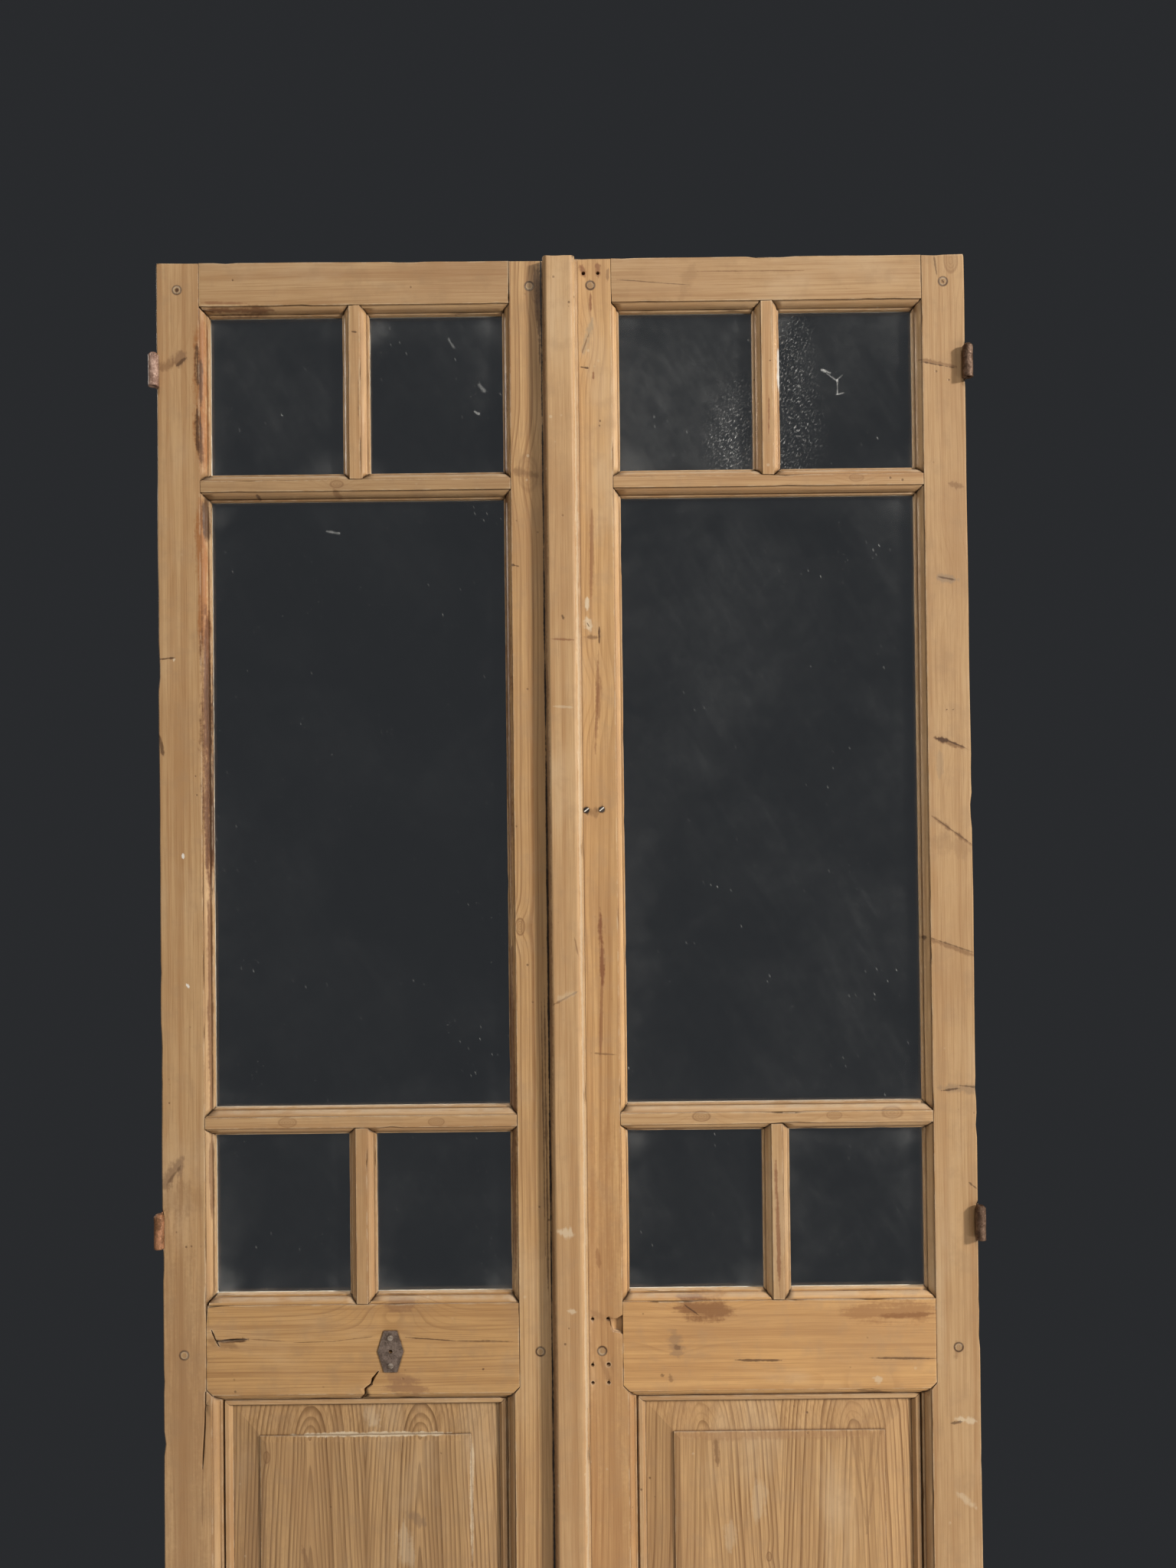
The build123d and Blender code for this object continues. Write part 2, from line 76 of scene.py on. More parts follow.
# The photograph's camera: pixels, millimetres, metres; roll, pitch and yaw in degrees
PHOTO_HEIGHT_PX = 2048.0
FOCAL_PX = 1538.0
SENSOR = 36.0
CAMERA_X = 0.0311
CAMERA_AWAY = 1.5333
CAMERA_BELOW_TOP = 0.7069
CAMERA_TURNS = (-0.64, 0.68, -0.05)


class Paint:
    """A material and short calls for the nodes that make it."""

    def __init__(self, name):
        self.mat = bpy.data.materials.new(name)
        self.mat.use_nodes = True
        self.tree = self.mat.node_tree
        self.shader = self.tree.nodes["Principled BSDF"]
        where = self.tree.nodes.new("ShaderNodeTexCoord")
        self.place = where.outputs["Object"]
        self.x, self.y, self.z = self.parts(self.place)
        self.facing = where.outputs["Normal"]

    def parts(self, vector):
        node = self.tree.nodes.new("ShaderNodeSeparateXYZ")
        self.tree.links.new(vector, node.inputs[0])
        return node.outputs

    def put(self, socket, value):
        if isinstance(value, bpy.types.NodeSocket):
            self.tree.links.new(value, socket)
        elif value is not None:
            socket.default_value = value

    def math(self, op, a, b=None, c=None, clamp=False):
        node = self.tree.nodes.new("ShaderNodeMath")
        node.operation = op
        node.use_clamp = clamp
        for socket, value in zip(node.inputs, (a, b, c)):
            self.put(socket, value)
        return node.outputs[0]

    def add(self, a, b):
        return self.math("ADD", a, b)

    def sub(self, a, b):
        return self.math("SUBTRACT", a, b)

    def mul(self, a, b):
        return self.math("MULTIPLY", a, b)

    def vector(self, a, b, c):
        node = self.tree.nodes.new("ShaderNodeCombineXYZ")
        for socket, value in zip(node.inputs, (a, b, c)):
            self.put(socket, value)
        return node.outputs[0]

    def noise(self, vector, scale, detail=2.0, rough=0.5, twist=0.0):
        node = self.tree.nodes.new("ShaderNodeTexNoise")
        self.put(node.inputs["Vector"], vector)
        for key, value in (("Scale", scale), ("Detail", detail), ("Roughness", rough), ("Distortion", twist)):
            self.put(node.inputs[key], value)
        return node.outputs["Fac"]

    def cells(self, vector, scale):
        node = self.tree.nodes.new("ShaderNodeTexVoronoi")
        self.put(node.inputs["Vector"], vector)
        self.put(node.inputs["Scale"], scale)
        return node.outputs["Distance"]

    def span(self, value, a, b, low=0.0, high=1.0):
        """Value carried smoothly from a..b to low..high."""
        node = self.tree.nodes.new("ShaderNodeMapRange")
        node.interpolation_type = "SMOOTHSTEP"
        for socket, v in zip(node.inputs, (value, a, b, low, high)):
            self.put(socket, v)
        return node.outputs[0]

    def ramp(self, value, *stops):
        node = self.tree.nodes.new("ShaderNodeValToRGB")
        self.put(node.inputs[0], value)
        points = node.color_ramp.elements
        while len(points) < len(stops):
            points.new(0.5)
        for point, (at, colour) in zip(points, stops):
            point.position = at
            point.color = (*colour, 1.0)
        return node.outputs[0]

    def mix(self, share, a, b):
        node = self.tree.nodes.new("ShaderNodeMix")
        node.data_type = "RGBA"
        self.put(node.inputs["Factor"], share)
        for key, value in (("A", a), ("B", b)):
            if isinstance(value, tuple) and len(value) == 3:
                value = (*value, 1.0)
            self.put([s for s in node.inputs if s.name == key and s.type == "RGBA"][0], value)
        return [s for s in node.outputs if s.type == "RGBA"][0]

    def crevice(self, distance, inside=False):
        """How open the surface is nearby, or with inside how thick the piece is behind it."""
        node = self.tree.nodes.new("ShaderNodeAmbientOcclusion")
        node.samples = 2
        node.inside = inside
        node.only_local = inside
        node.inputs["Distance"].default_value = distance
        return node.outputs["AO"]

    def bump(self, height, distance, strength=1.0):
        node = self.tree.nodes.new("ShaderNodeBump")
        node.inputs["Strength"].default_value = strength
        node.inputs["Distance"].default_value = distance
        self.put(node.inputs["Height"], height)
        self.put(self.shader.inputs["Normal"], node.outputs[0])

    def finish(self, **sockets):
        for key, value in sockets.items():
            self.put(self.shader.inputs[key.replace("_", " ")], value)
        return self.mat


def front_only(p):
    """One on the front of the doors, nothing on the back."""
    return p.span(p.y, 0.012, 0.004)


def far_from(p, x, z, sx=1.0, sz=1.0):
    """Distance on the face from a place, each way weighted."""
    dx = p.mul(p.sub(p.x, x), sx)
    dz = p.mul(p.sub(p.z, z), sz)
    return p.math("SQRT", p.add(p.mul(dx, dx), p.mul(dz, dz)))


def far_from_line(p, x0, z0, x1, z1):
    """Distance on the face from a straight stroke, and how near the place is to the stroke's middle."""
    bx, bz = x1 - x0, z1 - z0
    dx, dz = p.sub(p.x, x0), p.sub(p.z, z0)
    length = bx * bx + bz * bz
    share = p.math("ADD", p.mul(dx, bx / length), p.mul(dz, bz / length), clamp=True)
    ex, ez = p.sub(dx, p.mul(share, bx)), p.sub(dz, p.mul(share, bz))
    far = p.math("SQRT", p.add(p.mul(ex, ex), p.mul(ez, ez)))
    return far, p.mul(p.mul(share, p.sub(1.0, share)), 4.0)


def strokes(p, colour, lines, ragged, rough):
    """Cracks, spike knots, stains, and some painted shadows and highlights drawn as ragged strokes: two ends,
    width, tint, strength.
    """
    for x0, z0, x1, z1, width, tint, strength in lines:
        far, middle = far_from_line(p, x0, z0, x1, z1)
        far = p.add(p.mul(far, 1.0 / width), p.add(p.mul(ragged, 2.2), p.mul(rough, 1.1)))
        far = p.add(far, p.span(middle, 0.0, 0.7, 0.55, 0.0))
        share = p.mul(p.span(far, 1.0, 0.25), strength)
        colour = p.mix(p.mul(share, p.front), colour, tint)
    return colour


# Colours, as linear red, green and blue
BARK = (0.20, 0.078, 0.034)
DARK = (0.075, 0.035, 0.017)
UMBER = (0.20, 0.105, 0.048)
CREAM = (0.60, 0.49, 0.35)
STAIN = (0.125, 0.050, 0.020)
RESIN = (0.30, 0.125, 0.042)
GAP_SHADOW = (0.022, 0.013, 0.009)
WHITE = (0.74, 0.72, 0.68)
KNOT = (0.165, 0.076, 0.032)
RUBBED = (0.63, 0.50, 0.35)
DUST = (0.56, 0.47, 0.36)
CREVICE_GRIME_AND_SHADE = (0.055, 0.025, 0.012)
PIT = (0.045, 0.022, 0.012)
GLINT = (0.78, 0.75, 0.70)
GLASS = (0.93, 0.95, 0.95)
PANE_DUST = (0.60, 0.60, 0.58)
AMBIENT = (0.122, 0.114, 0.104, 1.0)
SURROUND = (0.0225, 0.0240, 0.0265, 1.0)

# Knots on the face of each member: x, z, size, how far they push the rings, how dark they are
KNOTS = {
    "left_hinge_stile": [
        (-0.500, 2.324, 0.008, 0.008, 0.0), (-0.516, 1.260, 0.010, 0.010, 0.0),
    ],
    "left_lock_rail": [
        (-0.231, 1.088, 0.0125, 0.030, 0.0), (-0.452, 1.046, 0.007, 0.008, 0.0),
    ],
    "left_lower_bar": [
        (-0.365, 1.326, 0.006, 0.006, 0.4), (-0.172, 1.325, 0.005, 0.005, 0.4),
    ],
    "left_meeting_stile": [
        (-0.044, 2.167, 0.013, 0.010, 0.25), (-0.0605, 1.577, 0.0058, 0.007, 0.6),
        (-0.030, 2.405, 0.008, 0.008, 0.35),
    ],
    "left_panel": [
        (-0.3985, 0.889, 0.004, 0.003, 0.6),
    ],
    "left_upper_bar": [
        (-0.294, 2.157, 0.006, 0.007, 0.5),
    ],
    "right_hinge_stile": [
        (0.508, 2.024, 0.012, 0.010, 0.0), (0.502, 1.812, 0.012, 0.010, 0.0),
        (0.512, 2.441, 0.009, 0.008, 0.4),
    ],
    "right_lock_rail": [
        (0.175, 1.082, 0.013, 0.014, 0.0), (0.136, 1.032, 0.008, 0.008, 0.0),
        (0.385, 0.985, 0.010, 0.010, 0.0),
    ],
    "right_lower_bar": [
        (0.172, 1.328, 0.006, 0.007, 0.5), (0.345, 1.328, 0.005, 0.006, 0.35),
        (0.42, 1.330, 0.008, 0.008, 0.4),
    ],
    "right_meeting_stile": [
        (0.036, 1.88, 0.010, 0.010, 0.0), (0.034, 2.34, 0.009, 0.008, 0.0),
    ],
    "right_panel": [
        (0.254, 0.754, 0.004, 0.003, 0.6),
    ],
    "right_upper_bar": [
        (0.385, 2.158, 0.005, 0.005, 0.35),
    ],
}

# Cracks, stains, rubbed places, broad darker bands, and some painted shadows and highlights on each member:
# two ends (x, z), width, tint, strength
MARKS = {
    "astragal": [
        (-0.018, 1.478, 0.016, 1.496, 0.0020, UMBER, 0.8),
        (-0.014, 1.484, 0.012, 1.494, 0.006, CREAM, 0.3),
        (0.010, 1.565, 0.015, 1.540, 0.0014, UMBER, 0.6),
        (-0.018, 1.949, 0.014, 1.947, 0.0022, BARK, 0.65),
        (-0.014, 1.188, 0.004, 1.184, 0.009, CREAM, 0.65),
        (-0.002, 1.980, 0.001, 1.974, 0.0022, DARK, 0.7),
        (-0.004, 1.087, 0.006, 1.085, 0.004, CREAM, 0.6),
        (-0.016, 1.862, 0.012, 1.860, 0.0017, CREAM, 0.4),
        # Painted highlight: a pale line down the whole right arris of the astragal
        (0.019, 2.40, 0.019, 0.10, 0.0024, CREAM, 0.55),
        # Painted shade: dark strokes down the whole left side of the astragal
        (-0.022, 2.43, -0.0215, 1.95, 0.0034, STAIN, 0.55),
        (-0.022, 1.96, -0.0215, 1.30, 0.0040, STAIN, 0.6),
        (-0.022, 1.28, -0.0215, 0.30, 0.0036, STAIN, 0.5),
    ],
    "left_hinge_stile": [
        (-0.508, 2.316, -0.490, 2.331, 0.0105, (0.24, 0.135, 0.070), 0.85),
        (-0.503, 2.314, -0.489, 2.325, 0.0026, DARK, 0.75),
        (-0.526, 2.310, -0.503, 2.320, 0.0080, UMBER, 0.6),
        (-0.531, 1.240, -0.502, 1.281, 0.0115, (0.25, 0.155, 0.088), 0.85),
        (-0.522, 1.248, -0.504, 1.272, 0.0030, DARK, 0.5),
        (-0.530, 1.232, -0.470, 1.225, 0.030, UMBER, 0.25),
        (-0.4722, 2.390, -0.4712, 2.17, 0.0100, RESIN, 0.9),
        (-0.4756, 2.346, -0.4746, 2.284, 0.0042, DARK, 0.9),
        (-0.4722, 2.326, -0.4714, 2.262, 0.0034, DARK, 0.7),
        (-0.4756, 2.262, -0.4746, 2.196, 0.0042, DARK, 0.9),
        (-0.4722, 2.240, -0.4714, 2.180, 0.0034, DARK, 0.7),
        (-0.4735, 2.140, -0.4695, 1.93, 0.0085, RESIN, 0.9),
        (-0.4670, 2.140, -0.4665, 2.085, 0.0070, DARK, 0.9),
        (-0.4680, 2.00, -0.4660, 1.62, 0.0085, STAIN, 0.95),
        (-0.4655, 1.93, -0.4650, 1.66, 0.0045, DARK, 0.8),
        (-0.4665, 1.66, -0.4665, 1.34, 0.0035, STAIN, 0.75),
        (-0.4665, 1.31, -0.4665, 1.20, 0.0030, STAIN, 0.6),
        # A broad umber band that darkens the lower part of the stile
        (-0.505, 1.24, -0.500, 0.12, 0.040, UMBER, 0.28),
        (-0.529, 1.930, -0.507, 1.932, 0.0018, DARK, 0.85),
        (-0.509, 1.930, -0.507, 1.929, 0.0026, CREAM, 0.8),
        (-0.529, 1.832, -0.523, 1.804, 0.0032, DARK, 0.75),
        (-0.4985, 1.676, -0.4980, 1.670, 0.0019, WHITE, 0.85),
        (-0.4950, 1.507, -0.4920, 1.502, 0.0021, WHITE, 0.85),
        (-0.478, 0.895, -0.480, 0.80, 0.0012, UMBER, 0.5),
    ],
    "left_lock_rail": [
        (-0.466, 1.058, -0.456, 1.038, 0.0018, DARK, 0.95),
        (-0.456, 1.044, -0.418, 1.047, 0.0032, DARK, 0.9),
        (-0.475, 1.048, -0.430, 1.036, 0.007, UMBER, 0.5),
        (-0.418, 1.047, -0.370, 1.044, 0.0012, UMBER, 0.7),
        (-0.31, 1.043, -0.252, 1.049, 0.0010, DARK, 0.6),
        (-0.238, 0.986, -0.190, 0.978, 0.016, (0.26, 0.135, 0.066), 0.7),
        (-0.240, 1.000, -0.205, 0.990, 0.013, (0.28, 0.150, 0.074), 0.6),
        (-0.240, 1.089, -0.200, 1.090, 0.012, (0.24, 0.125, 0.062), 0.7),
        (-0.215, 1.047, -0.150, 1.042, 0.0011, DARK, 0.85),
        (-0.155, 1.042, -0.071, 1.040, 0.0010, DARK, 0.7),
        (-0.36, 1.042, -0.30, 1.043, 0.0009, DARK, 0.6),
        (-0.0675, 0.981, -0.086, 0.962, 0.0012, DARK, 0.9),
        (-0.12, 1.043, -0.07, 1.040, 0.0010, DARK, 0.5), (-0.115, 1.006, -0.114, 1.004, 0.002, DARK, 0.8),
    ],
    "left_meeting_stile": [
        (-0.064, 2.172, -0.028, 2.164, 0.007, UMBER, 0.6),
        (-0.068, 2.049, -0.056, 2.046, 0.0018, DARK, 0.85),
        (-0.028, 2.445, -0.027, 2.30, 0.0040, DARK, 0.75),
        (-0.033, 2.440, -0.031, 2.36, 0.0028, DARK, 0.55),
        # Painted shadow: a near-black line on the stile along the gap beside the astragal's left edge
        (-0.0247, 2.60, -0.0247, 1.75, 0.0016, GAP_SHADOW, 1.0),
        (-0.0247, 1.95, -0.0247, 1.05, 0.0016, GAP_SHADOW, 1.0),
        (-0.0247, 1.25, -0.0247, -0.15, 0.0016, GAP_SHADOW, 1.0),
        (-0.030, 1.50, -0.029, 1.10, 0.0018, DARK, 0.7), (-0.034, 1.48, -0.032, 1.15, 0.0016, DARK, 0.6),
        (-0.073, 2.30, -0.073, 1.60, 0.0050, STAIN, 0.65),
        (-0.073, 1.55, -0.072, 1.10, 0.0050, STAIN, 0.75),
    ],
    "left_panel": [
        (-0.370, 0.9160, -0.150, 0.9160, 0.0028, CREAM, 0.9),
        (-0.132, 0.912, -0.132, 0.750, 0.0028, CREAM, 0.7),
        (-0.215, 0.815, -0.192, 0.800, 0.010, (0.20, 0.125, 0.075), 0.55),
        (-0.222, 0.800, -0.214, 0.745, 0.014, CREAM, 0.3),
        (-0.352, 0.775, -0.345, 0.735, 0.0040, UMBER, 0.7),
        (-0.430, 0.93, -0.405, 0.60, 0.040, (0.26, 0.15, 0.078), 0.35),
        (-0.270, 0.950, -0.255, 0.925, 0.012, CREAM, 0.35),
    ],
    "left_pegs": [
        (-0.5040, 2.4150, -0.4990, 2.4130, 0.0050, DARK, 0.95),
    ],
    "left_top_rail": [
        (-0.47, 2.3965, -0.41, 2.3955, 0.003, BARK, 0.6),
        (-0.468, 2.3885, -0.375, 2.3875, 0.0065, STAIN, 0.85),
    ],
    "left_upper_bar": [
        (-0.40, 2.146, -0.396, 2.138, 0.003, DARK, 0.8),
        (-0.298, 2.150, -0.290, 2.138, 0.005, UMBER, 0.7),
    ],
    "left_upper_muntin": [
        (-0.274, 2.357, -0.266, 2.356, 0.0016, DARK, 0.8),
        (-0.265, 2.30, -0.265, 2.24, 0.0012, DARK, 0.5),
    ],
    "right_hinge_stile": [
        (0.470, 2.312, 0.517, 2.301, 0.0040, UMBER, 0.7),
        (0.470, 2.309, 0.515, 2.300, 0.0012, DARK, 0.75),
        (0.484, 2.026, 0.514, 2.022, 0.0060, (0.29, 0.20, 0.125), 0.8),
        (0.488, 2.027, 0.512, 2.022, 0.0014, DARK, 0.7),
        (0.482, 1.817, 0.524, 1.801, 0.0045, UMBER, 0.85),
        (0.484, 1.816, 0.500, 1.812, 0.0040, DARK, 0.95),
        (0.498, 1.813, 0.524, 1.802, 0.0015, DARK, 0.85),
        (0.488, 1.80, 0.487, 1.765, 0.0050, (0.30, 0.21, 0.13), 0.45),
        (0.474, 1.717, 0.531, 1.674, 0.0036, UMBER, 0.65),
        (0.478, 1.714, 0.530, 1.676, 0.0014, DARK, 0.65),
        (0.474, 1.685, 0.530, 1.667, 0.020, UMBER, 0.25),
        (0.474, 1.554, 0.531, 1.532, 0.0042, UMBER, 0.65),
        (0.474, 1.556, 0.531, 1.536, 0.0013, DARK, 0.55), (0.465, 1.558, 0.467, 1.554, 0.0042, DARK, 0.8),
        (0.482, 1.362, 0.533, 1.359, 0.0075, (0.30, 0.195, 0.11), 0.8),
        (0.484, 1.358, 0.508, 1.361, 0.0020, DARK, 0.8), (0.505, 1.365, 0.531, 1.362, 0.0014, DARK, 0.65),
        (0.517, 1.240, 0.529, 1.230, 0.0016, DARK, 0.7),
        (0.498, 1.8535, 0.4985, 1.8525, 0.0020, DARK, 0.8),
        (0.506, 1.8535, 0.5065, 1.8525, 0.0020, DARK, 0.7),
        (0.497, 0.935, 0.523, 0.931, 0.0050, CREAM, 0.6), (0.490, 0.929, 0.505, 0.931, 0.0022, DARK, 0.7),
        (0.490, 2.448, 0.494, 2.42, 0.0016, DARK, 0.6), (0.498, 1.035, 0.497, 1.010, 0.0045, UMBER, 0.5),
        (0.504, 2.149, 0.524, 2.144, 0.0050, UMBER, 0.6), (0.497, 0.84, 0.52, 0.82, 0.006, CREAM, 0.4),
    ],
    "right_lock_rail": [
        (0.140, 1.084, 0.206, 1.076, 0.0210, (0.22, 0.100, 0.042), 0.85),
        (0.134, 1.0945, 0.172, 1.0950, 0.0032, BARK, 0.75),
        (0.133, 1.048, 0.138, 1.018, 0.0120, (0.25, 0.155, 0.092), 0.55),
        (0.134, 1.034, 0.140, 1.028, 0.0045, (0.16, 0.085, 0.045), 0.7),
        (0.127, 0.995, 0.130, 0.985, 0.0042, UMBER, 0.6), (0.146, 1.086, 0.168, 1.070, 0.0012, DARK, 0.8),
        (0.352, 1.071, 0.476, 1.076, 0.0200, (0.32, 0.160, 0.066), 0.75),
        (0.392, 1.067, 0.472, 1.071, 0.0055, (0.22, 0.095, 0.036), 0.7),
        (0.212, 1.0135, 0.272, 1.0125, 0.0022, DARK, 0.8),
        (0.385, 1.0145, 0.472, 1.0125, 0.0020, DARK, 0.75),
        (0.392, 0.988, 0.402, 0.984, 0.006, CREAM, 0.5), (0.37, 0.972, 0.405, 0.968, 0.0035, DARK, 0.5),
        (0.116, 0.997, 0.119, 0.993, 0.003, UMBER, 0.8),
    ],
    "right_lower_muntin": [
        (0.268, 1.27, 0.271, 1.10, 0.0032, BARK, 0.75),
    ],
    "right_meeting_stile": [
        (0.042, 2.370, 0.028, 2.320, 0.0065, (0.36, 0.265, 0.165), 0.75),
        (0.038, 2.352, 0.027, 2.322, 0.0018, UMBER, 0.8), (0.025, 2.307, 0.038, 2.305, 0.0015, DARK, 0.9),
        (0.043, 2.301, 0.043, 2.290, 0.0026, BARK, 0.75),
        (0.028, 1.953, 0.046, 1.952, 0.0038, UMBER, 0.75),
        (0.0465, 1.966, 0.0465, 1.943, 0.0020, DARK, 0.9),
        (0.031, 2.006, 0.032, 1.989, 0.0042, CREAM, 0.9),
        (0.030, 1.978, 0.034, 1.962, 0.0065, CREAM, 0.8),
        (0.0305, 1.972, 0.034, 1.966, 0.0012, DARK, 0.7), (0.045, 1.935, 0.040, 1.80, 0.0032, BARK, 0.6),
        (0.047, 1.90, 0.043, 1.84, 0.0050, BARK, 0.45), (0.0435, 1.600, 0.0460, 1.500, 0.0060, BARK, 0.9),
        (0.045, 1.51, 0.042, 1.41, 0.0028, BARK, 0.55), (0.030, 1.412, 0.064, 1.409, 0.0014, UMBER, 0.7),
        (0.026, 2.442, 0.033, 2.426, 0.0055, BARK, 0.75),
        (0.049, 2.444, 0.051, 2.424, 0.0048, BARK, 0.75),
        (0.064, 2.436, 0.063, 2.420, 0.0030, UMBER, 0.6),
        (0.040, 2.405, 0.040, 2.380, 0.0026, BARK, 0.75),
        (0.027, 1.078, 0.060, 1.060, 0.006, UMBER, 0.35), (0.036, 1.02, 0.052, 0.985, 0.005, UMBER, 0.4),
        (0.024, 1.727, 0.031, 1.7275, 0.0060, DARK, 0.85),
        (0.0435, 1.727, 0.052, 1.729, 0.0060, DARK, 0.85),
        (0.030, 1.724, 0.046, 1.724, 0.0070, UMBER, 0.5), (0.039, 2.12, 0.036, 1.99, 0.0040, BARK, 0.5),
        (0.035, 1.16, 0.037, 1.135, 0.0040, BARK, 0.5),
        (0.045, 1.30, 0.045, -0.05, 0.060, (0.30, 0.145, 0.060), 0.35),
    ],
    "right_panel": [
        (0.130, 0.9115, 0.400, 0.9115, 0.0090, (0.30, 0.160, 0.075), 0.5),
        (0.186, 0.908, 0.188, 0.872, 0.0042, UMBER, 0.75),
        (0.360, 0.935, 0.3825, 0.782, 0.0022, UMBER, 0.35),
        (0.404, 0.935, 0.3815, 0.782, 0.0022, UMBER, 0.35),
        (0.369, 0.930, 0.3828, 0.832, 0.0022, UMBER, 0.35),
        (0.395, 0.930, 0.3812, 0.832, 0.0022, UMBER, 0.35),
        (0.243, 0.850, 0.240, 0.800, 0.013, CREAM, 0.25),
        (0.205, 0.800, 0.202, 0.762, 0.010, CREAM, 0.25),
    ],
    "right_pegs": [
        (0.5000, 2.4160, 0.5030, 2.4120, 0.0016, DARK, 0.8),
    ],
    "right_top_rail": [
        (0.075, 2.421, 0.17, 2.413, 0.0011, DARK, 0.55), (0.18, 2.431, 0.32, 2.430, 0.0012, UMBER, 0.7),
        # A faint darker crescent across the top of the rail
        (0.176, 2.440, 0.158, 2.396, 0.011, UMBER, 0.22),
    ],
    "right_upper_muntin": [
        (0.272, 2.27, 0.271, 2.215, 0.0022, BARK, 0.7), (0.2735, 2.313, 0.2737, 2.312, 0.002, DARK, 0.9),
        (0.2866, 2.332, 0.2868, 2.276, 0.0030, WHITE, 0.9),
        (0.2850, 2.300, 0.2852, 2.288, 0.0022, WHITE, 0.8),
    ],
}


def inset_from(p, box):
    """Distances inward from the sides of a box on the face: across first, then up and down."""
    low, high = box
    found = []
    for axis, i in ((p.x, 0), (p.z, 2)):
        half = (high[i] - low[i]) / 2.0
        middle = (high[i] + low[i]) / 2.0
        found.append(p.sub(half, p.math("ABSOLUTE", p.sub(axis, middle))))
    return found


